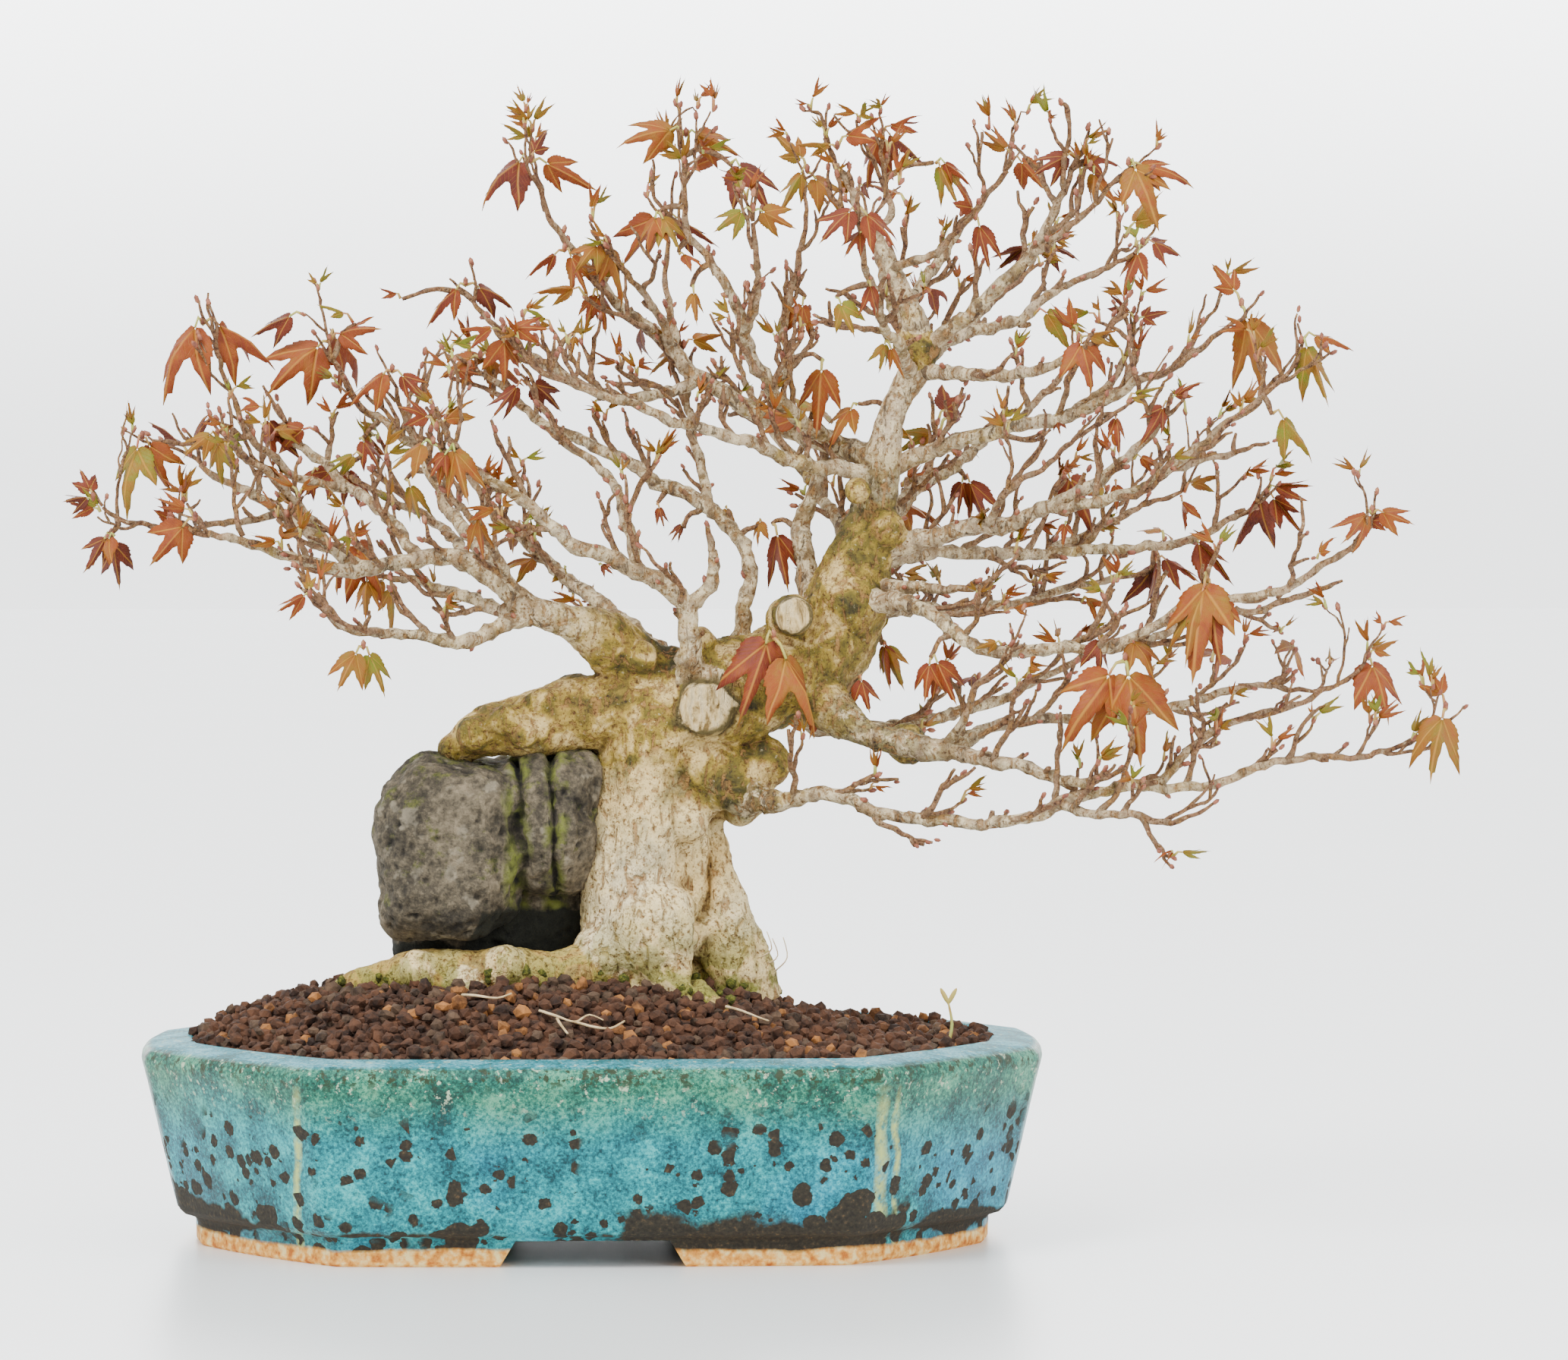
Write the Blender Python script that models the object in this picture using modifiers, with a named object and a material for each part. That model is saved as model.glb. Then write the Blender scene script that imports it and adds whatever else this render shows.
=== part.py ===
"""A trident maple grown over a rock, in a long eight-sided glazed pot.

The pot stands on two C-shaped feet. Plastic screens held by wire clips cover its two
drain holes, and soil fills it and rises to a mound. The tree is one grown piece: trunk,
roots and limbs. One of its roots arches over the rock. The young leaves sit at the twig
ends in small shoots.

Metres, +Z up, X along the pot, the tree's front towards -Y. The origin is on the ground
under the middle of the whole object.
"""

import math

import bmesh
import bpy
from mathutils import Vector, noise

MM = 0.001

# ---------------------------------------------------------------- driving dimensions
POT_LENGTH = 0.263
POT_DEPTH = 0.198
POT_HEIGHT = 0.0584
POT_CENTRE_X = -0.047
CORNER_LENGTH = 0.0495      # how much of the long side each cut corner takes
CORNER_DEPTH = 0.066        # how much of the short side each cut corner takes
SIDE_BOW = 0.0022           # how far the middle of each side stands out
LIP_WIDTH = 0.0155          # rim measured inwards from the widest outline
LIP_THICKNESS = 0.0045
WALL_THICKNESS = 0.0085
WALL_LEAN = 0.010           # how far the wall runs in from rim to bottom
FLOOR_THICKNESS = 0.0075
FOOT_HEIGHT = 0.0075
FOOT_WIDTH = 0.012
FOOT_INSET = 0.016
FOOT_GAP_FLOOR = 0.061      # opening between the feet, at the ground
FOOT_GAP_TOP = 0.052        # the same opening, under the pot
STEP_HEIGHT = 0.0055        # the sloping step between foot and wall

DRAIN_RADIUS = 0.0115
DRAIN_SPACING = 0.124
SCREEN_SIZE = 0.034
SCREEN_CELLS = 4
SCREEN_THICKNESS = 0.0012
CLIP_WIRE = 0.0006          # wire radius
CLIP_REACH = 0.008          # how far each leg runs past the hole, under the pot

SOIL_CENTRE_X = -0.068
SOIL_HALF_LENGTH = 0.098
SOIL_HALF_DEPTH = 0.078
SOIL_RISE = 0.0165          # the mound's top above the pot's rim
SOIL_EDGE_DROP = 0.0012     # the soil's edge below the rim

GAP = 0.0004                # kept wherever two pieces meet

# The tree's points are heights above the ground for a pot this high.
TREE_POT_HEIGHT = 0.0584
TREE_DEPTH = 1.6            # front-to-back reach of the limbs over the listed one
LIMB_SLIMNESS = 0.86          # share of the listed radius kept by limbs under 5 mm

LEAF_THICKNESS = 0.0007
LEAF_HUB = 0.0013           # radius of the bud that holds a shoot's leaves
LOBE_WIDTH = 0.38           # side lobes' reach over the leaf's length

# ------------------------------------------------------------------ the tree's limbs
# Each limb is a list of (x, depth, height, radius) in millimetres from its thick end.
TRUNK = [
    [(-33, 0, 66, 17), (-33, 0, 80, 16.5), (-34, 0, 95, 16), (-34, 0, 112, 15.5), (-32, 0, 128, 15),
     (-29, 0, 146, 15.5), (-24, 0, 158, 13), (-18, 0, 167, 8)],
    [(-24, 0, 150, 14), (-8, 0, 157, 15), (6, 1, 161, 15), (18, 3, 168, 13.5), (25, 4, 178, 12.5),
     (29, 5, 190, 10.5), (33, 5, 203, 8.5), (36, 5, 216, 7.5), (38, 5, 228, 6.5), (41, 4, 240, 5.5),
     (47, 3, 252, 6), (47, 1, 262, 5), (43, 0, 273, 4), (38, 0, 284, 3), (31, 0, 297, 2),
     (24, 0, 311, 1.3)],
    [(-22, 1, 137, 13), (-8, 0, 132, 12), (3, -1, 130, 8.5)],
]
ROOTS = [
    [(-22, 0, 122, 11), (-18, 2, 112, 10.5), (-14, 3, 100, 10.5), (-8, 4, 85, 11.5), (-4, 5, 66, 13)],
    [(-36, 0, 152, 12.5), (-50, -1, 151, 10), (-63, -2, 149, 9.5), (-74, -2, 147, 8.5),
     (-82, 0, 144, 6.5), (-87, 4, 138, 4.5), (-91, 12, 126, 4), (-94, 17, 108, 4), (-96, 19, 88, 4),
     (-98, 19, 66, 3.5)],
    [(-42, -5, 80, 8.5), (-55, -8, 77, 7.5), (-70, -9, 76, 8), (-85, -9, 76, 8), (-98, -8, 76, 7.5),
     (-108, -6, 75, 6), (-118, -4, 71, 5), (-126, -2, 64, 4)],
    [(-36, 8, 78, 9), (-44, 14, 70, 7), (-54, 22, 62, 4.5)],
    [(-26, -7, 76, 8), (-16, -13, 69, 6), (-6, -18, 61, 4)],
]
LEFT_LOW = [
    [(-30, 2, 160, 11), (-38, 0, 168, 9.5), (-46, -4, 175, 8), (-56, -8, 179, 6), (-65, -10, 182, 5.2),
     (-73, -8, 189, 4.4), (-82, -6, 195, 4), (-93, -6, 196.5, 3.4), (-105, -8, 195, 3),
     (-117, -10, 194, 2.8), (-128, -12, 195.5, 2.3), (-138, -14, 198.5, 2), (-147, -16, 200.5, 1.8),
     (-157, -18, 205, 1.3)],
    [(-63, -9, 181, 4), (-75, -14, 176, 3.2), (-85, -17, 173, 3), (-97, -20, 175, 2.4),
     (-107, -22, 176, 2), (-116, -24, 177, 1.8), (-124, -25, 183, 1.2)],
    [(-65, -10, 181, 4), (-75, -4, 182, 3), (-84, 2, 186, 2.6), (-94, 8, 189, 2.2), (-103, 12, 190, 1.5)],
    [(-112, -9, 195, 2.6), (-122, -4, 199, 2.6), (-130, 0, 205, 2.4), (-138, 3, 210, 2.3),
     (-147, 6, 215, 2), (-155, 8, 219.5, 1.5), (-161, 9, 223, 1.2)],
    [(-138, 3, 210, 1.8), (-148, 0, 207, 1.5), (-158, -4, 205.3, 1.3), (-170, -7, 205.3, 1.2),
     (-180, -9, 207.5, 1.1), (-187, -10, 211, 0.9)],
    [(-97, -6, 196, 2.6), (-104, 0, 206, 2.3), (-112, 5, 213, 2.2), (-126, 12, 224, 2),
     (-134, 14, 230, 1.8), (-139, 15, 235, 1.2)],
    [(-122, -4, 199, 2.2), (-131, -8, 212, 1.8), (-137, -11, 218, 1.6), (-144, -13, 224, 1.5),
     (-151, -15, 229, 1.1)],
    [(-118, 7, 217, 2), (-131, 4, 219, 1.8), (-139, 0, 226, 1.6), (-146, -3, 232, 1.4),
     (-150, -4, 242, 1.1), (-156, -5, 260, 0.9)],
    [(-145, -3, 231, 1.3), (-156, -6, 230.5, 1.1), (-166, -8, 230.5, 1), (-173, -9, 231, 0.8)],
    [(-72, -8, 189, 3.5), (-80, -2, 199, 3.2), (-87, 4, 209, 2.8), (-93, 8, 219, 2.4),
     (-99, 11, 228, 2), (-107, 14, 235, 1.7), (-114, 16, 241, 1.4), (-123, 18, 255, 0.9)],
    [(-98, 11, 227, 1.7), (-102, 8, 238, 1.2), (-104, 6, 246, 0.9)],
    [(-69, -9, 186, 2.4), (-74, -16, 197, 1.8), (-80, -20, 207, 1.6), (-87, -24, 216, 1.4),
     (-90, -26, 226, 1.1)],
    [(-78, -5, 193, 2.6), (-90, 16, 204, 2), (-98, 24, 210, 1.7), (-108, 30, 214, 1.4),
     (-118, 36, 220, 1.1)],
]
STEMS = [
    [(-20, -4, 158, 5), (-19, -8, 172, 4.2), (-20, -9, 184, 4), (-30, -12, 191, 3.6),
     (-41, -15, 196, 3.3), (-52, -18, 201, 3), (-61, -20, 208, 2.6), (-70, -22, 215, 2.3),
     (-79, -24, 221, 1.9), (-88, -27, 230, 1.2)],
    [(-20, -9, 182, 3.4), (-12, -10, 190, 2.8), (-12, -11, 199, 2.1)],
    [(-34, -13, 192, 2.8), (-36, -7, 202, 2.4), (-41, 0, 218, 2), (-49, 5, 226, 1.8),
     (-58, 8, 234, 1.5), (-64, 10, 243, 1.2)],
    [(-6, 2, 162, 5), (-3, 2, 180, 3.4), (-2, 4, 196, 3), (-9, 7, 206, 3), (-16, 9, 213, 3),
     (-27, 12, 218, 2.8), (-38, 15, 225, 2.6), (-50, 18, 230, 2.4), (-61, 21, 236, 2.1),
     (-70, 24, 242, 1.7), (-78, 26, 250, 1.2)],
    [(-14, 8, 211, 2.6), (-15, 12, 222, 2), (-18, 15, 232, 1.9), (-19, 18, 243, 1.7), (-20, 20, 254, 1.3)],
    [(20, 3, 172, 6), (16, 8, 190, 4.5), (14, 10, 205, 4), (19, 12, 221, 2.6)],
]
CROWN_LEFT = [
    [(37, 5, 221, 3.6), (26, 3, 222, 3.2), (15, 0, 223, 3), (5, -4, 227, 2.8), (-5, -8, 231, 2.5),
     (-16, -12, 234, 2.2), (-27, -15, 238, 2), (-38, -18, 242, 1.8), (-50, -20, 245, 1.6),
     (-60, -22, 250, 1.4), (-69, -24, 257, 1)],
    [(37, 5, 225, 5), (18, 12, 231, 4), (4, 14, 237, 3.8), (-8, 15, 244, 3.5), (-18, 16, 251, 3.2),
     (-24, 17, 259, 2.9), (-33, 18, 265, 2.5), (-42, 18, 274, 2.1), (-50, 18, 284, 1.7),
     (-57, 17, 293, 1.4), (-64, 16, 308, 0.9)],
    [(-16, 16, 249, 2.8), (-28, 14, 244, 2.4), (-38, 12, 242, 2.3), (-49, 12, 246, 2.1),
     (-59, 12, 251, 1.9), (-68, 13, 257, 1.6), (-76, 14, 264, 1.3), (-82, 15, 272, 1)],
    [(-24, 17, 258, 2.2), (-28, 10, 268, 1.7), (-35, 6, 276, 1.4), (-41, 4, 284, 1)],
    [(-22, 17, 256, 2.2), (-24, 22, 270, 1.5), (-25, 24, 281, 1.2), (-26, 24, 292, 0.9)],
    [(24, 9, 229, 3.8), (12, 2, 238, 3.2), (4, -2, 247, 3), (-2, -4, 256, 2.8), (-4, -6, 266, 2.4),
     (-8, -8, 276, 2), (-14, -8, 284, 1.7), (-20, -8, 292, 1.4), (-20, -9, 314, 0.9)],
    [(-3, -5, 260, 2.2), (0, -10, 272, 1.6), (1, -13, 282, 1.4), (-1, -15, 292, 1)],
    [(5, -1, 245, 2.4), (11, 4, 254, 1.9), (9, 8, 263, 1.7), (11, 10, 274, 1.5), (14, 12, 285, 1.3),
     (16, 13, 305, 0.8)],
]
CROWN_RIGHT = [
    [(47, 2, 256, 4), (58, -2, 263, 3.2), (66, -5, 270, 2.9), (74, -8, 278, 2.6), (81, -10, 287, 2.2),
     (86, -11, 297, 1.7), (91, -12, 308, 1.1)],
    [(77, -9, 282, 2), (88, -14, 291, 1.5), (97, -17, 298, 1.2), (104, -19, 306, 0.9)],
    [(44, 0, 269, 3), (50, 5, 277, 2.5), (55, 8, 285, 2.2), (61, 10, 293, 1.8), (68, 12, 301, 1.4),
     (75, 13, 309, 1)],
    [(49, 2, 258, 3.4), (61, 6, 261, 2.8), (72, 10, 264, 2.5), (82, 13, 269, 2.1), (90, 15, 275, 1.7),
     (98, 17, 279, 1.4), (112, 19, 285, 1)],
    [(49, 2, 251, 3.6), (60, -6, 250, 2.8), (70, -12, 249, 2.6), (80, -16, 251, 2.2), (90, -18, 255, 1.6)],
    [(39, 0, 280, 2.2), (48, -5, 283, 1.8), (60, -11, 291, 1.1)],
    [(35, 0, 289, 2), (39, 4, 298, 1.5), (37, 6, 315, 0.9)],
    [(46, 3, 254, 3.4), (44, 16, 264, 2.6), (40, 28, 274, 2.2), (38, 36, 286, 1.6), (36, 42, 297, 1.1)],
    [(47, 3, 250, 3.6), (56, 18, 258, 2.4), (66, 30, 266, 2), (76, 38, 275, 1.5), (84, 44, 284, 1)],
    [(46, 2, 250, 3.6), (40, -14, 258, 2.3), (34, -26, 268, 1.9), (30, -34, 280, 1.4), (28, -38, 291, 1)],
]
RIGHT_HIGH = [
    [(38, 5, 222, 4.4), (50, 4, 227, 3.4), (62, 0, 231, 3.2), (75, -3, 234, 3), (87, -6, 237, 2.7),
     (98, -8, 241, 2.4), (108, -10, 246, 2), (117, -12, 250, 1.6), (127, -14, 256, 1.3),
     (137, -16, 265, 0.9)],
    [(91, -7, 238, 2.1), (101, -2, 246, 1.6), (107, 1, 253, 1.3), (110, 2, 261, 0.9)],
    [(34, 5, 198, 5.5), (50, 2, 202, 3.9), (61, -3, 205, 3.7), (72, -7, 206, 3.4), (82, -10, 210, 3),
     (91, -13, 215, 2.7), (100, -15, 220, 2.4), (108, -17, 227, 2), (117, -19, 237, 1.3)],
    [(85, -11, 211, 2.6), (98, -18, 213, 2.3), (110, -22, 218, 2.1), (121, -25, 226, 1.8),
     (132, -27, 235, 1.5), (143, -28, 243, 1.2), (153, -29, 254, 0.9)],
    [(110, -22, 218, 2), (123, -15, 223, 1.7), (137, -10, 227, 1.4)],
    [(67, -6, 206, 2), (71, -16, 214, 1.4), (80, -22, 222, 1.2), (96, -30, 236, 0.9)],
    [(34, 5, 195, 5), (52, 14, 198, 3), (66, 18, 197, 2.8), (80, 22, 197, 2.6), (94, 25, 197, 2.4),
     (108, 27, 198, 2.2), (122, 29, 199, 2), (133, 31, 202, 1.7), (143, 32, 206, 1.4), (152, 33, 211, 1)],
    [(88, 24, 197.5, 2), (100, 30, 203, 1.6), (111, 34, 208, 1.4), (128, 37, 215, 0.9)],
    [(32, 4, 188, 4.6), (52, -6, 188, 2), (66, -10, 188, 1.5)],
]
RIGHT_LOW = [
    [(30, 5, 183, 5.5), (52, 20, 181, 2.7), (66, 28, 180, 2.4), (80, 34, 182, 2.1), (93, 38, 186, 1.9),
     (106, 42, 188, 1.5), (120, 45, 192, 1)],
    [(29, 2, 184, 5.5), (47, -10, 183, 3.2), (55, -15, 177, 2.9), (64, -19, 171, 2.7),
     (76, -22, 170, 2.6), (88, -25, 171, 2.5), (99, -27, 171, 2.3), (109, -28, 175, 2.1),
     (118, -29, 182, 1.8), (135, -34, 186, 1.9), (146, -36, 188, 1.8), (156, -38, 193, 1.5),
     (164, -39, 199, 1.3), (170, -40, 206, 0.9)],
    [(98, -27, 171, 2.2), (112, -20, 173, 1.9), (122, -14, 177, 1.7), (133, -10, 180, 1.5),
     (145, -8, 181, 1.4), (155, -6, 184, 1.3), (164, -5, 188, 1.4)],
    [(-20, 0, 128, 10), (-4, -5, 127, 6.5), (8, -10, 127, 3.8), (20, -14, 129, 3), (30, -17, 126, 2.7),
     (42, -20, 123, 2.5), (55, -22, 122, 2.4), (68, -24, 121.5, 2.4), (80, -26, 123.5, 2.4),
     (90, -27, 128, 2.4), (101, -28, 131, 2.3), (113, -29, 132.5, 2.1), (126, -30, 132.5, 1.9),
     (138, -31, 135.5, 1.8), (148, -31, 139.5, 1.6), (160, -32, 141, 1.4), (172, -33, 141, 1.2),
     (184, -34, 145, 1.1), (192, -35, 150, 0.9)],
    [(112, -29, 132.5, 2), (122, -26, 141, 1.7), (131, -22, 148, 1.6), (142, -18, 151, 1.5),
     (153, -15, 154, 1.3), (164, -12, 159, 1.1), (174, -10, 164, 0.9)],
    [(84, -26, 126, 2.2), (96, -33, 125, 1.8), (116, -40, 123, 1.3)],
    [(18, -2, 156, 9), (30, -8, 147, 5.5), (44, -12, 143, 5), (56, -14, 142, 4.2), (66, -9, 148, 2.6),
     (86, -4, 150, 2.1), (98, -2, 150.5, 2), (112, 0, 151.5, 1.9), (124, 2, 154, 1.8),
     (137, 4, 157, 1.7), (151, 6, 159, 1.4)],
    [(50, -13, 142, 3.6), (64, -18, 140, 3), (76, -22, 137, 2.6), (86, -25, 134, 2.3), (96, -30, 133, 1.8)],
    [(54, -14, 142, 2.6), (60, -18, 153, 1.5), (62, -20, 160, 1.3), (71, -22, 169, 0.9)],
]
BACK = [
    [(-20, 4, 158, 7), (-30, 14, 170, 4.5), (-42, 23, 180, 3.6), (-55, 30, 190, 2.9),
     (-68, 37, 201, 2.3), (-80, 43, 213, 1.7), (-88, 46, 226, 1)],
    [(8, 4, 164, 7), (16, 17, 172, 4.5), (22, 27, 180, 3.6), (30, 36, 190, 2.8), (40, 44, 201, 2.2),
     (50, 50, 214, 1.6), (56, 54, 227, 1)],
    [(30, 6, 195, 5), (26, 18, 206, 3.2), (18, 28, 218, 2.5), (8, 36, 231, 2), (0, 43, 245, 1.5),
     (-6, 48, 259, 1)],
    [(34, 6, 205, 5), (46, 17, 214, 3.2), (60, 26, 223, 2.6), (74, 34, 233, 2), (88, 41, 244, 1.5),
     (98, 46, 256, 1)],
    [(6, 4, 155, 8), (24, 16, 146, 3.8), (44, 25, 146, 3), (64, 33, 150, 2.4), (84, 40, 157, 1.9),
     (103, 45, 167, 1.2)],
]
LIMBS = TRUNK + ROOTS + LEFT_LOW + STEMS + CROWN_LEFT + CROWN_RIGHT + RIGHT_HIGH + RIGHT_LOW + BACK

# ----------------------------------------------------------------- the tree's leaves
# Each shoot is its bud and the tips of the leaves that it holds, in the limbs' units.
SHOOTS = [
    ((-159, -5, 264), [(-170, -9, 242), (-139, -2, 252)]),
    ((-124, 19, 259.5), [(-142, 16, 244), (-117, 31, 247), (-109, 14, 263)]),
    ((-105, 5, 250.5), [(-117, 1, 241), (-94, 1, 241)]),
    ((-164, 9, 226), [(-176, 12, 236), (-157, 5, 238)]),
    ((-176, -10, 231), [(-181, -12, 209), (-168, -8, 216)]),
    ((-190, -11, 213.5), [(-198, -14, 213), (-194, -8, 222)]),
    ((-185, -9, 203), [(-192, -13, 193), (-183, -6, 188)]),
    ((-160, -19, 208), [(-171, -21, 214), (-173, -16, 195)]),
    ((-142, 15, 238), [(-150, 19, 243), (-140, 11, 222)]),
    ((-154, -16, 231.5), [(-163, -19, 226), (-153, -13, 217)]),
    ((-127, -26, 186), [(-136, -28, 182), (-128, -23, 194)]),
    ((-106, 13, 190), [(-115, 14, 182), (-106, 16, 174)]),
    ((-118, 8, 202.5), [(-122, 12, 186), (-108, 12, 182)]),
    ((-112, -24, 171.5), [(-119, -28, 160), (-106, -24, 158)]),
    ((-92, -27, 229.5), [(-104, -30, 222), (-84, -24, 218)]),
    ((-121, 37, 223), [(-133, 40, 214), (-116, 40, 210)]),
    ((-91, -28, 233.5), [(-101, -32, 240), (-80, -26, 242)]),
    ((-84, 15, 276), [(-95, 12, 264), (-70, 18, 269)]),
    ((-80, 26, 255), [(-92, 30, 249), (-68, 34, 247)]),
    ((-66, 10, 247), [(-76, 7, 237), (-56, 14, 239)]),
    ((-72, -25, 260), [(-84, -28, 262), (-72, -22, 246), (-59, -26, 262)]),
    ((-65, 16, 312), [(-79, 13, 299), (-46, 18, 304), (-60, 22, 322)]),
    ((-55, 14, 286), [(-66, 10, 278), (-48, 12, 272)]),
    ((-43, 3, 288), [(-52, 0, 279), (-38, 6, 270)]),
    ((-26, 24, 296), [(-38, 28, 282), (-10, 26, 288)]),
    ((-20, -9, 318), [(-39, -12, 315), (-4, -6, 312)]),
    ((-1, -16, 296), [(-12, -18, 290), (11, -16, 291)]),
    ((-20, 21, 258), [(-30, 24, 250), (-8, 22, 262)]),
    ((16, 13, 309), [(6, 16, 321), (8, 10, 297), (26, 14, 297)]),
    ((24, 0, 315), [(37, -4, 324), (12, -2, 316)]),
    ((37, 6, 319), [(48, 3, 325), (50, 8, 311), (33, 10, 304)]),
    ((27, -39, 295), [(17, -42, 286), (38, -42, 284)]),
    ((63, -12, 294), [(57, -16, 304), (67, -14, 279)]),
    ((76, 13, 313), [(67, 10, 321), (86, 16, 304)]),
    ((92, -12, 312), [(79, -15, 306), (105, -10, 309)]),
    ((106, -20, 309), [(114, -24, 291), (124, -20, 303)]),
    ((115, 19, 288), [(109, 16, 272), (127, 23, 285)]),
    ((92, -19, 259), [(84, -22, 269), (103, -20, 262), (95, -22, 244)]),
    ((111, 2, 265), [(103, 0, 273), (121, 5, 268)]),
    ((139, -16, 269), [(131, -13, 281), (146, -18, 242)]),
    ((154, -29, 258), [(161, -32, 241), (169, -26, 256)]),
    ((118, -20, 241), [(109, -23, 229), (127, -21, 247)]),
    ((86, 44, 289), [(75, 49, 282), (99, 47, 285)]),
    ((154, 34, 214), [(168, 36, 217), (145, 38, 198), (164, 30, 203)]),
    ((172, -41, 210), [(183, -44, 207), (163, -48, 202)]),
    ((123, 46, 195), [(136, 49, 188), (121, 44, 176)]),
    ((104, -30, 168), [(86, -33, 144), (108, -34, 139)]),
    ((177, -9, 167.5), [(186, -6, 173), (182, -14, 150)]),
    ((194, -36, 154.5), [(189, -34, 166), (188, -45, 136)]),
    ((5, -13, 174), [(-5, -17, 150), (17, -17, 147)]),
    ((58, 55, 232), [(46, 58, 227), (70, 58, 226)]),
]

# ------------------------------------------------------------------- rock
# Each lobe is a centre and half sizes in millimetres, in the limbs' units without depth.
ROCK_LOBES = [
    ((-87, 1, 114), (22.5, 25, 26)),
    ((-63, 4, 119), (19, 23, 21)),
    ((-57, 2, 129), (14, 20, 11.5)),
    ((-92, -4, 101), (18, 19, 15)),
    ((-76, 16, 92), (29, 17, 24)),
]
ROCK_SQUARENESS = 0.72
ROCK_ROUGHNESS = 0.0022
ROCK_GRAIN = 55.0

# ------------------------------------------------------------------- heights and levels
TREE_LIFT = POT_HEIGHT - TREE_POT_HEIGHT
FLOOR_TOP = FOOT_HEIGHT + FLOOR_THICKNESS
LIP_UNDERSIDE = POT_HEIGHT - LIP_THICKNESS
WALL_FOOT = FOOT_HEIGHT + STEP_HEIGHT
SCREEN_BOTTOM = FLOOR_TOP + GAP
SCREEN_TOP = SCREEN_BOTTOM + SCREEN_THICKNESS
SOIL_EDGE = POT_HEIGHT - SOIL_EDGE_DROP


# ------------------------------------------------------------------- helpers
def clear_scene():
    for item in list(bpy.data.objects):
        bpy.data.objects.remove(item)


def material(name, colour, roughness):
    found = bpy.data.materials.new(name)
    found.use_nodes = True
    shader = found.node_tree.nodes["Principled BSDF"]
    shader.inputs["Base Color"].default_value = (*colour, 1.0)
    shader.inputs["Roughness"].default_value = roughness
    shader.inputs["Metallic"].default_value = 0.0
    return found


def new_object(name, mesh, collection, look=None):
    made = bpy.data.objects.new(name, mesh)
    collection.objects.link(made)
    if look:
        mesh.materials.clear()
        mesh.materials.append(look)
    return made


def as_cutter(item):
    item.hide_render = True
    item.display_type = "WIRE"
    return item


def boolean(item, operation, target):
    cut = item.modifiers.new(operation.lower(), "BOOLEAN")
    cut.operation = operation
    cut.solver = "EXACT"
    if isinstance(target, bpy.types.Collection):
        cut.operand_type = "COLLECTION"
        cut.collection = target
    else:
        cut.object = target
    return cut


def evaluated_mesh(item):
    bpy.context.view_layer.update()
    graph = bpy.context.evaluated_depsgraph_get()
    return bpy.data.meshes.new_from_object(item.evaluated_get(graph))


def tube_object(name, points, resolution, collection):
    """A closed tube through (place, radius) pairs, as a mesh with welded caps."""
    curve = bpy.data.curves.new(name, "CURVE")
    curve.dimensions = "3D"
    curve.bevel_depth = 1.0
    curve.bevel_resolution = resolution
    curve.use_fill_caps = True
    spline = curve.splines.new("POLY")
    spline.points.add(len(points) - 1)
    for point, (place, radius) in zip(spline.points, points):
        point.co = (*place, 1.0)
        point.radius = radius
    bent = new_object(name + "_route", curve, collection)
    mesh = evaluated_mesh(bent)
    bpy.data.objects.remove(bent)
    work = bmesh.new()
    work.from_mesh(mesh)
    bmesh.ops.remove_doubles(work, verts=work.verts, dist=1e-6)
    bmesh.ops.recalc_face_normals(work, faces=work.faces)
    work.to_mesh(mesh)
    work.free()
    return new_object(name, mesh, collection)


# ------------------------------------------------------------------- the pot's outline
def pot_outline(inset):
    """The pot's eight-sided outline, moved inwards by inset, with slightly bowed sides."""
    half_length = POT_LENGTH / 2 - inset
    half_depth = POT_DEPTH / 2 - inset
    # A slanting side moves in by the same inset, which shortens the straight sides less.
    slant = math.hypot(CORNER_LENGTH, CORNER_DEPTH)
    shift_x = inset * (1 - (slant - CORNER_LENGTH) / CORNER_DEPTH)
    shift_y = inset * (1 - (slant - CORNER_DEPTH) / CORNER_LENGTH)
    flat_x = POT_LENGTH / 2 - CORNER_LENGTH - inset + shift_x
    flat_y = POT_DEPTH / 2 - CORNER_DEPTH - inset + shift_y
    corners = [
        Vector((half_length, flat_y)), Vector((flat_x, half_depth)),
        Vector((-flat_x, half_depth)), Vector((-half_length, flat_y)),
        Vector((-half_length, -flat_y)), Vector((-flat_x, -half_depth)),
        Vector((flat_x, -half_depth)), Vector((half_length, -flat_y)),
    ]
    points = []
    for here, there in zip(corners, corners[1:] + corners[:1]):
        along = there - here
        outward = Vector((along.y, -along.x)).normalized()
        for share in (0.04, 0.3, 0.7, 0.96):
            bow = SIDE_BOW * (4 * share * (1 - share) - 1)
            points.append(here + along * share + outward * bow)
    return points


def loft(name, rings, collection, look=None):
    """A closed solid through rings of places, with a flat face at each end."""
    work = bmesh.new()
    loops = [[work.verts.new(place) for place in ring] for ring in rings]
    for lower, upper in zip(loops, loops[1:]):
        for side in range(len(lower)):
            after = (side + 1) % len(lower)
            work.faces.new((lower[side], lower[after], upper[after], upper[side]))
    work.faces.new(loops[0])
    work.faces.new(loops[-1])
    bmesh.ops.recalc_face_normals(work, faces=work.faces)
    mesh = bpy.data.meshes.new(name)
    work.to_mesh(mesh)
    work.free()
    return new_object(name, mesh, collection, look)


def level(inset, height):
    return [Vector((x + POT_CENTRE_X, y, height)) for x, y in pot_outline(inset)]


def box_cutter(name, centre, size, collection):
    bpy.ops.mesh.primitive_cube_add(size=1, location=centre)
    made = bpy.context.object
    made.name = name
    made.scale = size
    bpy.ops.object.transform_apply(location=False, rotation=False, scale=True)
    made.users_collection[0].objects.unlink(made)
    collection.objects.link(made)
    return as_cutter(made)


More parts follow.
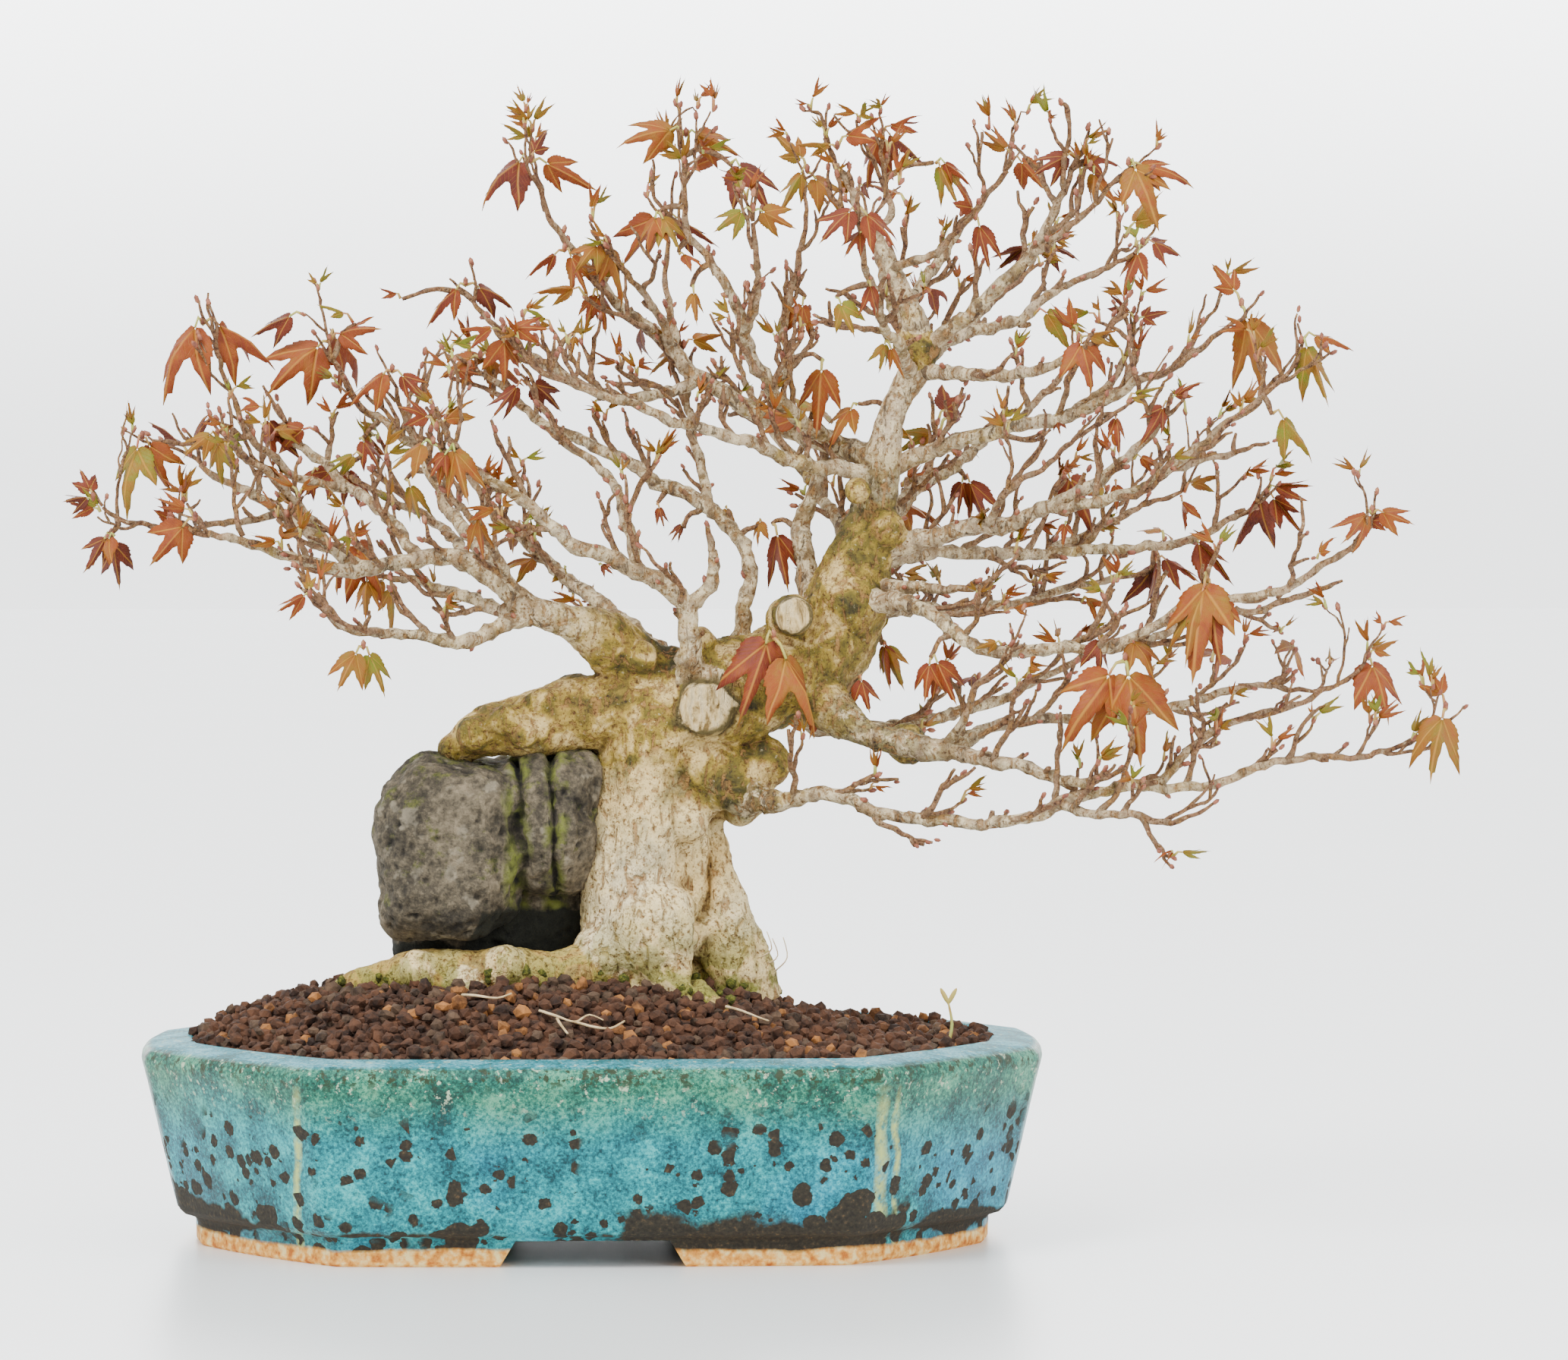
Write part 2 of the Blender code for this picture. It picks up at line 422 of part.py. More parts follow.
def drain_centres():
    return {"left": POT_CENTRE_X - DRAIN_SPACING / 2, "right": POT_CENTRE_X + DRAIN_SPACING / 2}


# ------------------------------------------------------------------- the pot
def foot_gap_cutter(collection):
    """The sloping-ended gap that parts the feet, run through from front to back."""
    low = -0.002
    slope = (FOOT_GAP_FLOOR - FOOT_GAP_TOP) / 2 / FOOT_HEIGHT
    section = [(FOOT_GAP_FLOOR / 2 - slope * low, low), (FOOT_GAP_TOP / 2, FOOT_HEIGHT)]
    section += [(-x, z) for x, z in reversed(section)]
    ends = [[Vector((POT_CENTRE_X + x, y, z)) for x, z in section] for y in (-POT_DEPTH, POT_DEPTH)]
    return as_cutter(loft("foot_gap_cutter", ends, collection))


def make_pot(parts, cutters, glaze):
    wall_bottom = WALL_LEAN + WALL_THICKNESS
    rings = [
        level(FOOT_INSET + FOOT_WIDTH, FOOT_HEIGHT),
        level(FOOT_INSET + FOOT_WIDTH, 0),
        level(FOOT_INSET, 0),
        level(FOOT_INSET, FOOT_HEIGHT),
        level(WALL_LEAN, WALL_FOOT),
        level(0, POT_HEIGHT - 2 * LIP_THICKNESS),
        level(LIP_THICKNESS * 0.2, POT_HEIGHT - LIP_THICKNESS),
        level(LIP_THICKNESS, POT_HEIGHT - LIP_THICKNESS * 0.35),
        level(LIP_WIDTH - LIP_THICKNESS * 0.3, POT_HEIGHT),
        level(LIP_WIDTH, POT_HEIGHT - LIP_THICKNESS * 0.3),
        level(LIP_WIDTH, LIP_UNDERSIDE),
        level(WALL_THICKNESS, LIP_UNDERSIDE - LIP_THICKNESS),
        level(wall_bottom, FLOOR_TOP),
    ]
    pot = loft("pot", rings, parts, glaze)
    boolean(pot, "DIFFERENCE", foot_gap_cutter(cutters))
    for side, x in drain_centres().items():
        bpy.ops.mesh.primitive_cylinder_add(
            vertices=16, radius=DRAIN_RADIUS, depth=4 * FLOOR_TOP, location=(x, 0, 0))
        hole = bpy.context.object
        hole.name = "drain_cutter_" + side
        hole.users_collection[0].objects.unlink(hole)
        cutters.objects.link(as_cutter(hole))
        boolean(pot, "DIFFERENCE", hole)
    return pot


def make_screen(side, x, parts, plastic):
    bpy.ops.mesh.primitive_grid_add(
        x_subdivisions=SCREEN_CELLS, y_subdivisions=SCREEN_CELLS, size=SCREEN_SIZE,
        location=(x, 0, (SCREEN_BOTTOM + SCREEN_TOP) / 2))
    screen = bpy.context.object
    screen.name = "drain_screen_" + side
    screen.users_collection[0].objects.unlink(screen)
    parts.objects.link(screen)
    screen.data.materials.append(plastic)
    strands = screen.modifiers.new("strands", "WIREFRAME")
    strands.thickness = SCREEN_THICKNESS
    strands.use_boundary = True
    strands.use_even_offset = False


def make_clip(side, x, parts, wire):
    """A staple over the screen whose legs pass the hole and turn out under the pot."""
    leg = SCREEN_SIZE / SCREEN_CELLS / 2
    over = SCREEN_TOP + GAP + CLIP_WIRE
    under = FOOT_HEIGHT - GAP - CLIP_WIRE
    out = DRAIN_RADIUS + CLIP_REACH
    route = [(-out, under), (-leg, under), (-leg, over), (leg, over), (leg, under), (out, under)]
    points = [(Vector((x + across, leg, height)), CLIP_WIRE) for across, height in route]
    clip = tube_object("screen_clip_" + side, points, 1, parts)
    clip.data.materials.append(wire)


# ------------------------------------------------------------------- the tree
def limb_points(limb, growth):
    places = []
    for x, depth, height, radius in limb:
        place = Vector((x, depth * TREE_DEPTH, height)) * MM + Vector((0, 0, TREE_LIFT))
        slim = LIMB_SLIMNESS + (1 - LIMB_SLIMNESS) * min(1.0, max(0.0, (radius - 5) / 4))
        places.append((place, radius * slim * MM + growth))
    return places


def limb_sides(limb):
    """Bevel steps round a limb: more on a thick one."""
    girth = limb[0][3]
    return 3 if girth > 11 else 2 if girth > 6 else 1 if girth > 3 else 0


def limb_group(name, limbs, growth, collection):
    for number, limb in enumerate(limbs):
        piece = tube_object(f"{name}_{number}", limb_points(limb, growth), limb_sides(limb), collection)
        as_cutter(piece)


def make_wood(parts, limb_pieces, bark):
    """Every limb joined into the one grown piece."""
    limb_group("limb", LIMBS, 0.0, limb_pieces)
    pieces = list(limb_pieces.objects)
    wood = new_object("wood", pieces[0].data.copy(), parts, bark)
    limb_pieces.objects.unlink(pieces[0])
    joined = boolean(wood, "UNION", limb_pieces)
    joined.use_self = True
    return wood


def make_shoot(number, bud, tips, parts, joints, leaf):
    """A bud with its three-lobed leaves, folded a little along the midrib."""
    centre = limb_points([(*bud, 0)], 0)[0][0]
    bpy.ops.mesh.primitive_ico_sphere_add(subdivisions=1, radius=LEAF_HUB, location=centre)
    shoot = bpy.context.object
    shoot.name = f"leaf_shoot_{number:02d}"
    shoot.users_collection[0].objects.unlink(shoot)
    parts.objects.link(shoot)
    shoot.data.materials.append(leaf)
    blades = bpy.data.collections.new(f"blades_{number:02d}")
    joints.children.link(blades)
    for order, tip in enumerate(tips):
        end = limb_points([(*tip, 0)], 0)[0][0]
        make_blade(f"blade_{number:02d}_{order}", centre, end, number + 7 * order, blades)
    boolean(shoot, "UNION", blades)
    return shoot


def make_blade(name, base, tip, turn, collection):
    run = tip - base
    facing = Vector((math.sin(turn * 2.4) * 0.5, -1.0, 0.6))
    across = run.cross(facing).normalized()
    up = across.cross(run).normalized()
    length = run.length
    middle = base + run * 0.45 + up * length * 0.10

    def edge(along, side):
        fold = -abs(side) * 0.3 * length
        return base + run * along + across * side * length + up * (fold + length * 0.06)

    work = bmesh.new()
    root, ridge, point = (work.verts.new(place) for place in (base, middle, tip))
    for hand in (-1, 1):
        waist = work.verts.new(edge(0.30, hand * 0.08))
        lobe = work.verts.new(edge(0.62, hand * LOBE_WIDTH))
        notch = work.verts.new(edge(0.60, hand * 0.14))
        corners = [(root, waist, ridge), (waist, lobe, notch), (waist, notch, ridge), (ridge, notch, point)]
        for triangle in corners:
            work.faces.new(triangle if hand > 0 else tuple(reversed(triangle)))
    mesh = bpy.data.meshes.new(name)
    work.to_mesh(mesh)
    work.free()
    blade = as_cutter(new_object(name, mesh, collection))
    body = blade.modifiers.new("body", "SOLIDIFY")
    body.thickness = LEAF_THICKNESS
    body.offset = 0
    return blade


# ------------------------------------------------------------------- rock and soil
def rock_lobe(name, centre, half_sizes, growth, collection):
    work = bmesh.new()
    bmesh.ops.create_icosphere(work, subdivisions=3, radius=1.0)
    place = Vector(centre) * MM + Vector((0, 0, TREE_LIFT))
    for vert in work.verts:
        direction = vert.co.copy()
        squared = Vector(math.copysign(abs(part) ** ROCK_SQUARENESS, part) for part in direction)
        surface = Vector(squared[axis] * half_sizes[axis] * MM for axis in range(3))
        rough = noise.noise((surface + place) * ROCK_GRAIN) * ROCK_ROUGHNESS * 2
        vert.co = place + surface + direction * (rough + growth)
    mesh = bpy.data.meshes.new(name)
    work.to_mesh(mesh)
    work.free()
    return as_cutter(new_object(name, mesh, collection))


def make_rock(parts, lobes, near_wood, stone):
    for number, (centre, half_sizes) in enumerate(ROCK_LOBES):
        rock_lobe(f"rock_lobe_{number}", centre, half_sizes, 0.0, lobes)
    first = lobes.objects[0]
    rock = new_object("rock", first.data.copy(), parts, stone)
    lobes.objects.unlink(first)
    boolean(rock, "UNION", lobes)
    boolean(rock, "DIFFERENCE", near_wood)
    return rock


def soil_height(x, y):
    """Level at the rim, with a long mound under the tree."""
    along = (x - SOIL_CENTRE_X) / SOIL_HALF_LENGTH
    across = y / SOIL_HALF_DEPTH
    mound = max(0.0, 1 - (along ** 2 + across ** 2) ** 1.4)
    return SOIL_EDGE + (SOIL_RISE + SOIL_EDGE_DROP) * mound


def make_soil(parts, cutters, near_wood, near_rock, earth):
    floor = SCREEN_BOTTOM
    wall_bottom = WALL_LEAN + WALL_THICKNESS + GAP
    rings = [
        level(wall_bottom, floor),
        level(WALL_THICKNESS + GAP, LIP_UNDERSIDE - LIP_THICKNESS - GAP),
        level(LIP_WIDTH + GAP, LIP_UNDERSIDE - GAP),
        level(LIP_WIDTH + GAP, SOIL_EDGE),
    ]
    for share in (0.9, 0.76, 0.6, 0.42, 0.2):
        ring = []
        for x, y in pot_outline(LIP_WIDTH + GAP):
            place = Vector((SOIL_CENTRE_X * (1 - share) + (x + POT_CENTRE_X) * share, y * share, 0))
            place.z = soil_height(place.x, place.y)
            ring.append(place)
        rings.append(ring)
    soil = loft("soil", rings, parts, earth)
    for side, x in drain_centres().items():
        height = SCREEN_TOP + 2 * (GAP + CLIP_WIRE) + GAP
        span = SCREEN_SIZE + SCREEN_THICKNESS + 2 * GAP
        pocket = box_cutter("screen_pocket_" + side, (x, 0, 0), (span, span, 2 * height), cutters)
        boolean(soil, "DIFFERENCE", pocket)
    boolean(soil, "DIFFERENCE", near_wood)
    boolean(soil, "DIFFERENCE", near_rock)
    return soil


def joined_cutter(name, pieces, collection):
    """One closed cutter from a collection of pieces that run into each other."""
    items = list(pieces.objects)
    whole = new_object(name, items[0].data.copy(), collection)
    pieces.objects.unlink(items[0])
    joined = boolean(whole, "UNION", pieces)
    joined.use_self = True
    mesh = evaluated_mesh(whole)
    bpy.data.objects.remove(whole)
    return as_cutter(new_object(name, mesh, collection))


# ------------------------------------------------------------------- the whole object
def main():
    clear_scene()
    scene_root = bpy.context.scene.collection
    collections = {}
    for name in ("bonsai_in_pot", "cutters", "limbs", "limbs_grown", "rock_lobes", "rock_grown", "blades"):
        collections[name] = bpy.data.collections.new(name)
        scene_root.children.link(collections[name])
    parts = collections["bonsai_in_pot"]
    cutters = collections["cutters"]

    make_pot(parts, cutters, material("turquoise_glaze", (0.12, 0.42, 0.44), 0.25))
    plastic = material("black_plastic_mesh", (0.03, 0.03, 0.03), 0.6)
    wire = material("aluminium_wire", (0.6, 0.6, 0.6), 0.35)
    for side, x in drain_centres().items():
        make_screen(side, x, parts, plastic)
        make_clip(side, x, parts, wire)

    make_wood(parts, collections["limbs"], material("maple_bark", (0.55, 0.47, 0.36), 0.85))

    # The rock and the soil meet only the trunk, the roots and the lowest limb bases.
    low_limbs = TRUNK[:1] + ROOTS + BACK[:1] + LEFT_LOW[:1]
    limb_group("grown_limb", low_limbs, GAP, collections["limbs_grown"])
    near_wood = joined_cutter("near_wood", collections["limbs_grown"], cutters)
    make_rock(parts, collections["rock_lobes"], near_wood, material("grey_rock", (0.16, 0.15, 0.14), 0.95))
    for number, (centre, half_sizes) in enumerate(ROCK_LOBES):
        rock_lobe(f"grown_lobe_{number}", centre, half_sizes, GAP, collections["rock_grown"])
    near_rock = joined_cutter("near_rock", collections["rock_grown"], cutters)
    make_soil(parts, cutters, near_wood, near_rock, material("akadama_soil", (0.16, 0.08, 0.05), 0.95))

    leaf = material("young_leaf", (0.55, 0.2, 0.07), 0.6)
    for number, (bud, tips) in enumerate(SHOOTS, start=1):
        make_shoot(number, bud, tips, parts, collections["blades"], leaf)


main()
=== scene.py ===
# %% [markdown]
# # A potted maple bonsai, finished on its measured frame
#
# The frame holds the working solids: pot, soil, rock, wood and leaf shoots, each in its
# true place and size. This lesson gives every one of them its real surface.

# %% Load the frame
import math
import random

import bmesh
import bpy
from mathutils import Matrix, Vector, noise
from mathutils.bvhtree import BVHTree
from mathutils.kdtree import KDTree


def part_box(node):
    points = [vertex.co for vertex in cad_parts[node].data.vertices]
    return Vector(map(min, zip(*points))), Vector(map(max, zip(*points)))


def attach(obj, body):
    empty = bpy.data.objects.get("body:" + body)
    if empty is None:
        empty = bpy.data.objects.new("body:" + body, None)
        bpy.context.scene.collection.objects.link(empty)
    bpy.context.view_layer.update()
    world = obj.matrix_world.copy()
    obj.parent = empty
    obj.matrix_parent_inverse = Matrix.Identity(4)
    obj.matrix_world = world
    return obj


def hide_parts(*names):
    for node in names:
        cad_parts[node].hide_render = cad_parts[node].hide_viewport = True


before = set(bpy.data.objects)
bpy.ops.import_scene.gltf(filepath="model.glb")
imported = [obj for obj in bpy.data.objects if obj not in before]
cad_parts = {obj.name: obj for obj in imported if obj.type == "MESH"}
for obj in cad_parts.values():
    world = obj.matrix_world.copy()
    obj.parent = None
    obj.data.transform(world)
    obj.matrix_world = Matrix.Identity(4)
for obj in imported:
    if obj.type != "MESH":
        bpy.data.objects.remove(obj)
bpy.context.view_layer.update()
MM = 0.001
# Vector noise shifts its field by this seed; left out, it would follow the clock.
noise.seed_set(7)

# %% [markdown]
# ## Helpers
#
# Every piece goes through the same last steps: its bmesh becomes a mesh at the origin, it
# rides on the one body, it takes over its working solid, and it names its finish. A small
# node helper keeps the materials short: it adds a node, sets its plain values and links
# its inputs in one call.


# %% Meshes, objects and finished pieces
def new_mesh(name, work):
    """The mesh of a bmesh, which is freed."""
    mesh = bpy.data.meshes.new(name)
    work.to_mesh(mesh)
    work.free()
    return mesh


def new_object(name, work):
    made = bpy.data.objects.new(name, new_mesh(name, work))
    bpy.context.scene.collection.objects.link(made)
    return made


def join_into(target, work):
    mesh = new_mesh("joined", work)
    target.from_mesh(mesh)
    bpy.data.meshes.remove(mesh)


def apply_modifiers(piece):
    bpy.context.view_layer.update()
    graph = bpy.context.evaluated_depsgraph_get()
    settled = bpy.data.meshes.new_from_object(piece.evaluated_get(graph))
    piece.modifiers.clear()
    piece.data = settled


def finish_piece(name, work, material, replaced=(), smooth=True):
    piece = new_object(name, work)
    mesh = piece.data
    if smooth:
        mesh.shade_smooth()
    else:
        mesh.shade_flat()
    mesh.materials.append(material)
    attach(piece, "root")
    if replaced:
        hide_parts(*replaced)
    print(name, "faces:", len(mesh.polygons))
    return piece


# %% Add nodes to a material
# A node's outputs come back as fields, which can be added and multiplied like numbers.
def feed(socket, source):
    """Links a field to a socket, or sets a plain value; a colour may leave out its alpha."""
    if isinstance(source, Field):
        socket.id_data.links.new(source.socket, socket)
    elif isinstance(source, tuple) and socket.type == "RGBA":
        socket.default_value = (*source, 1.0)
    else:
        socket.default_value = source


def add(tree, kind, values=None, inputs=None):
    """A new node's outputs by name, as fields."""
    node = tree.nodes.new("ShaderNode" + kind)
    for key, value in (values or {}).items():
        setattr(node, key, value)
    for key, source in (inputs or {}).items():
        feed(node.inputs[key], source)
    return {socket.name: Field(socket) for socket in node.outputs}


def tree_of(*sources):
    """The node tree that the first field among some sources belongs to."""
    return next(source for source in sources if isinstance(source, Field)).socket.id_data


def maths(operation, first, second=0.0, clamp=False):
    tree = tree_of(first, second)
    return add(tree, "Math", {"operation": operation, "use_clamp": clamp}, {0: first, 1: second})["Value"]


class Field:
    """One output of a shader node, so that sums of fields can be written as sums."""

    def __init__(self, socket):
        self.socket = socket

    def __add__(self, other):
        return maths("ADD", self, other)

    def __sub__(self, other):
        return maths("SUBTRACT", self, other)

    def __rsub__(self, other):
        return maths("SUBTRACT", other, self)

    def __mul__(self, other):
        return maths("MULTIPLY", self, other)

    def __truediv__(self, other):
        return maths("DIVIDE", self, other)

    def __pow__(self, other):
        return maths("POWER", self, other)


def new_material(name):
    """A material, its node tree, its shader and the field of places on the object."""
    made = bpy.data.materials.new(name)
    made.use_nodes = True
    tree = made.node_tree
    return made, tree, tree.nodes["Principled BSDF"], add(tree, "TexCoord")["Object"]


def coat(shader, colour, roughness, shine=0.5):
    feed(shader.inputs["Base Color"], colour)
    feed(shader.inputs["Roughness"], roughness)
    feed(shader.inputs["Specular IOR Level"], shine)


def noise_node(place, scale, detail=4.0, roughness=0.55, distortion=0.0):
    return add(tree_of(place), "TexNoise", None, {
        "Vector": place, "Scale": scale, "Detail": detail, "Roughness": roughness,
        "Distortion": distortion})["Fac"]


def speckled(name, stops, noise_settings, roughness=0.5):
    """A material whose colour follows one noise; gives back that noise too."""
    made, _, shader, place = new_material(name)
    tone = noise_node(place, *noise_settings)
    coat(shader, ramp(tone, stops), roughness)
    return made, shader, tone


def ramp(source, stops):
    """A colour ramp from (position, (r, g, b)) or (position, grey) stops."""
    node = tree_of(source).nodes.new("ShaderNodeValToRGB")
    feed(node.inputs["Fac"], source)
    bar = node.color_ramp.elements
    while len(bar) < len(stops):
        bar.new(1.0)
    for step, (position, colour) in zip(bar, stops):
        if not isinstance(colour, tuple):
            colour = (colour, colour, colour)
        step.position = position
        step.color = (*colour, 1.0)
    return Field(node.outputs["Color"])


def mix(amount, first, second, blend="MIX"):
    node = tree_of(amount, first, second).nodes.new("ShaderNodeMix")
    node.data_type = "RGBA"
    node.blend_type = blend
    for number, source in ((0, amount), (6, first), (7, second)):
        feed(node.inputs[number], source)
    return Field(node.outputs[2])


def between(height, low, high):
    """0 below low and 1 above high."""
    return add(tree_of(height), "MapRange", {"clamp": True}, {
        "Value": height, "From Min": low, "From Max": high})["Result"]


def bump(shader, height, strength, distance):
    normal = add(tree_of(height), "Bump", None, {
        "Height": height, "Strength": strength, "Distance": distance})
    feed(shader.inputs["Normal"], normal["Normal"])


# %% [markdown]
# ## Studio: floor, light and camera
#
# A white room gives the soft, even light of a plant portrait: a pale floor that runs out
# of sight, one big soft light overhead and in front, and a bright surrounding world with
# a brighter backdrop behind the tree. The camera stands two metres back from the pot's
# middle, a little above the crown's heart, with a long lens.

# %% Floor, lights and camera
# Rounded to 0.01 mm, so that the tree grows the same from any reading of the frame.
pot_low, pot_high = (Vector([round(part, 5) for part in corner]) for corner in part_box("pot"))
pot_middle = (pot_low + pot_high) / 2
CAMERA_DISTANCE = 2.0
CAMERA_HEIGHT = 0.227
LOOK_AT = Vector((0.0086, 0.0, 0.161))
LENS = 158.4

floor_work = bmesh.new()
bmesh.ops.create_grid(floor_work, x_segments=2, y_segments=2, size=8.0)
floor = new_object("floor", floor_work)
paper, *_ = speckled("white_paper_floor", [
    (0.3, (0.93, 0.935, 0.93)), (0.7, (0.96, 0.965, 0.96))], (3.0,), 0.33)
floor.data.materials.append(paper)

world = bpy.data.worlds.new("studio")
world.use_nodes = True
sky = world.node_tree
sky_direction = add(sky, "TexCoord")["Generated"]
to_backdrop = add(sky, "VectorMath", {"operation": "DOT_PRODUCT"},
    {0: sky_direction, 1: (0.0, 1.0, 0.0)})["Value"]
sky_height = add(sky, "SeparateXYZ", None, {"Vector": sky_direction})["Z"]
rising = add(sky, "MapRange", {"interpolation_type": "SMOOTHSTEP"},
    {"Value": sky_height, "From Min": -0.01, "From Max": 0.11, "To Min": 2.9, "To Max": 7.0})
backdrop = add(sky, "MapRange", {"interpolation_type": "SMOOTHSTEP"},
    {"Value": to_backdrop, "From Min": 0.86, "From Max": 0.96, "To Min": 1.5, "To Max": rising["Result"]})
feed(sky.nodes["Background"].inputs["Strength"], backdrop["Result"])
feed(sky.nodes["Background"].inputs["Color"], (0.97, 0.99, 1.0))
bpy.context.scene.world = world


def area_light(name, place, target, size, power):
    light = bpy.data.lights.new(name, "AREA")
    light.shape = "DISK"
    light.size = size
    light.energy = power
    lamp = bpy.data.objects.new(name, light)
    lamp.location = place
    lamp.rotation_euler = (Vector(target) - Vector(place)).to_track_quat("-Z", "Y").to_euler()
    bpy.context.scene.collection.objects.link(lamp)


area_light("key_light", (-0.9, -1.0, 1.7), (0, 0, 0.15), 0.9, 42)
area_light("fill_light", (1.3, -1.2, 0.9), (0, 0, 0.15), 1.0, 14)

camera_data = bpy.data.cameras.new("portrait_camera")
camera_data.lens = LENS
camera_data.sensor_width = 36.0
camera = bpy.data.objects.new("portrait_camera", camera_data)
camera.location = (pot_middle.x, -CAMERA_DISTANCE, CAMERA_HEIGHT)
camera.rotation_euler = (LOOK_AT - camera.location).to_track_quat("-Z", "Y").to_euler()
bpy.context.scene.collection.objects.link(camera)
bpy.context.scene.camera = camera
print("camera at", tuple(round(value, 3) for value in camera.location))

# %% [markdown]
# ## The pot
#
# The real pot was pressed in a mould and glazed: an eight-sided tray with a rolled lip,
# slightly full sides, soft corners and a foot ring cut away at front and back. One way is
# a subdivided box with loops cut in. Here its outline is a ring of edges, repeated level
# by level through the pot's section and bridged, which gives an even wall and exact insets
# from the lip to the foot. The section is richer than the working solid's: the lip is rounded,
# the wall meets a small cove above the foot, and the foot's edges are eased.

# %% The outline of the pot
POT_LENGTH = pot_high.x - pot_low.x
POT_DEPTH = pot_high.y - pot_low.y
RIM = pot_high.z
WORKING_RIM = 0.0584
TREE_LIFT = RIM - WORKING_RIM
CORNER_LENGTH = 0.0495
CORNER_DEPTH = 0.066
SIDE_BOW = 0.0022
CORNER_STEPS = 5
SIDE_STEPS = 8


def pot_corners(inset):
    """The eight corners at an inset, anticlockwise from the front of the right end."""
    slant = math.hypot(CORNER_LENGTH, CORNER_DEPTH)
    flat_x = POT_LENGTH / 2 - CORNER_LENGTH - inset * (slant - CORNER_LENGTH) / CORNER_DEPTH
    flat_y = POT_DEPTH / 2 - CORNER_DEPTH - inset * (slant - CORNER_DEPTH) / CORNER_LENGTH
    end_x = POT_LENGTH / 2 - inset
    end_y = POT_DEPTH / 2 - inset
    quarter = [Vector((end_x, flat_y)), Vector((flat_x, end_y))]
    corners = list(quarter)
    corners += [Vector((-x, y)) for x, y in reversed(quarter)]
    corners += [Vector((-x, -y)) for x, y in quarter]
    corners += [Vector((x, -y)) for x, y in reversed(quarter)]
    return corners


def pot_ring(inset, height, round_off=0.0035):
    """Places round the outline: bowed sides joined by rounded corners."""
    corners = pot_corners(inset)
    places = []
    for number, corner in enumerate(corners):
        before = (corners[number - 1] - corner).normalized()
        after = (corners[(number + 1) % 8] - corner).normalized()
        start, stop = corner + before * round_off, corner + after * round_off
        for step in range(CORNER_STEPS):
            share = step / (CORNER_STEPS - 1)
            places.append(start.lerp(corner, share).lerp(corner.lerp(stop, share), share))
        goal = corners[(number + 1) % 8] - after * round_off
        outward = Vector((after.y, -after.x))
        for step in range(1, SIDE_STEPS):
            share = step / SIDE_STEPS
            bow = SIDE_BOW * (4 * share * (1 - share))
            places.append(stop.lerp(goal, share) + outward * bow)
    middle = Vector((pot_middle.x, pot_middle.y))
    shrink = 1 - 2 * SIDE_BOW / POT_DEPTH
    return [Vector((*(middle + place * shrink), height)) for place in places]


print("outline corners:", [tuple(round(v, 4) for v in corner) for corner in pot_corners(0)][:2])

# %% The pot's section, bridged round
POT_SECTION = [
    (0.0280, 0.0078), (0.0280, 0.0006), (0.0274, 0.0), (0.0168, 0.0), (0.0160, 0.0008),
    (0.0158, 0.0064), (0.0146, 0.0082), (0.0116, 0.0092), (0.0102, 0.0106), (0.0096, 0.0130),
    (0.0072, 0.0230), (0.0044, 0.0350), (0.0018, 0.0460), (0.0006, 0.0505), (0.0, 0.0530),
    (0.0003, 0.0548), (0.0013, 0.0562), (0.0030, 0.0571), (0.0080, 0.0578), (0.0128, 0.0583),
    (0.0146, 0.0582), (0.0155, 0.0574), (0.0157, 0.0560), (0.0150, 0.0545), (0.0085, 0.0500),
    (0.0185, 0.0152),
]


def ring_edges(work, places):
    """A closed ring of edges through places."""
    made = bmesh.ops.create_circle(work, cap_ends=False, radius=1.0, segments=len(places))["verts"]
    for vert, place in zip(made, places):
        vert.co = place
    return list({edge for vert in made for edge in vert.link_edges})


def bridged(rings):
    """A closed solid whose skin bridges each ring to the next."""
    work = bmesh.new()
    loops = [ring_edges(work, places) for places in rings]
    for lower, upper in zip(loops, loops[1:]):
        bmesh.ops.bridge_loops(work, edges=lower + upper)
    for end in (loops[0], loops[-1]):
        bmesh.ops.contextual_create(work, geom=end)
    bmesh.ops.recalc_face_normals(work, faces=work.faces)
    return work


pot_work = bridged([pot_ring(inset, height) for inset, height in POT_SECTION])
print("pot verts:", len(pot_work.verts))

# %% [markdown]
# The gap between the two feet has sloping ends and runs through from front to back, so it
# is cut out with a wedge. The wedge is a cube whose top is pulled in.

# %% Cut the gap between the feet
FOOT_HEIGHT = 0.0075
GAP_FLOOR = 0.061
GAP_TOP = 0.052


def boolean_cut(piece, cutter_work, name):
    """Cuts a closed bmesh out of a piece for good."""
    cutter = new_object(name, cutter_work)
    cut = piece.modifiers.new(name, "BOOLEAN")
    cut.operation = "DIFFERENCE"
    cut.object = cutter
    apply_modifiers(piece)
    bpy.data.objects.remove(cutter)


def foot_wedge():
    """A cube drawn out from front to back, with its top pulled in."""
    work = bmesh.new()
    bmesh.ops.create_cube(work, size=2.0)
    bmesh.ops.scale(work, vec=(GAP_FLOOR / 2, POT_DEPTH, FOOT_HEIGHT), verts=work.verts)
    top = [vert for vert in work.verts if vert.co.z > 0]
    bmesh.ops.scale(work, vec=(2 * GAP_TOP / GAP_FLOOR - 1, 1, 1), verts=top)
    bmesh.ops.translate(work, vec=(pot_middle.x, 0, 0), verts=work.verts)
    return work

# %% [markdown]
# ## The glaze
#
# A thick copper-blue glaze over brown clay. It runs thin and dark along edges, gathers
# greener under the lip, breaks into dark crawled spots low down, and stops short of the
# ground, where the bare clay shows. Each effect is a mask built from height and noise,
# and the masks are laid over one another from the clay up.

# %% Glaze material
glaze, tree, shader, place = new_material("turquoise_crawled_glaze")
axes = add(tree, "SeparateXYZ", None, {"Vector": place})
across, height = axes["X"], axes["Z"]

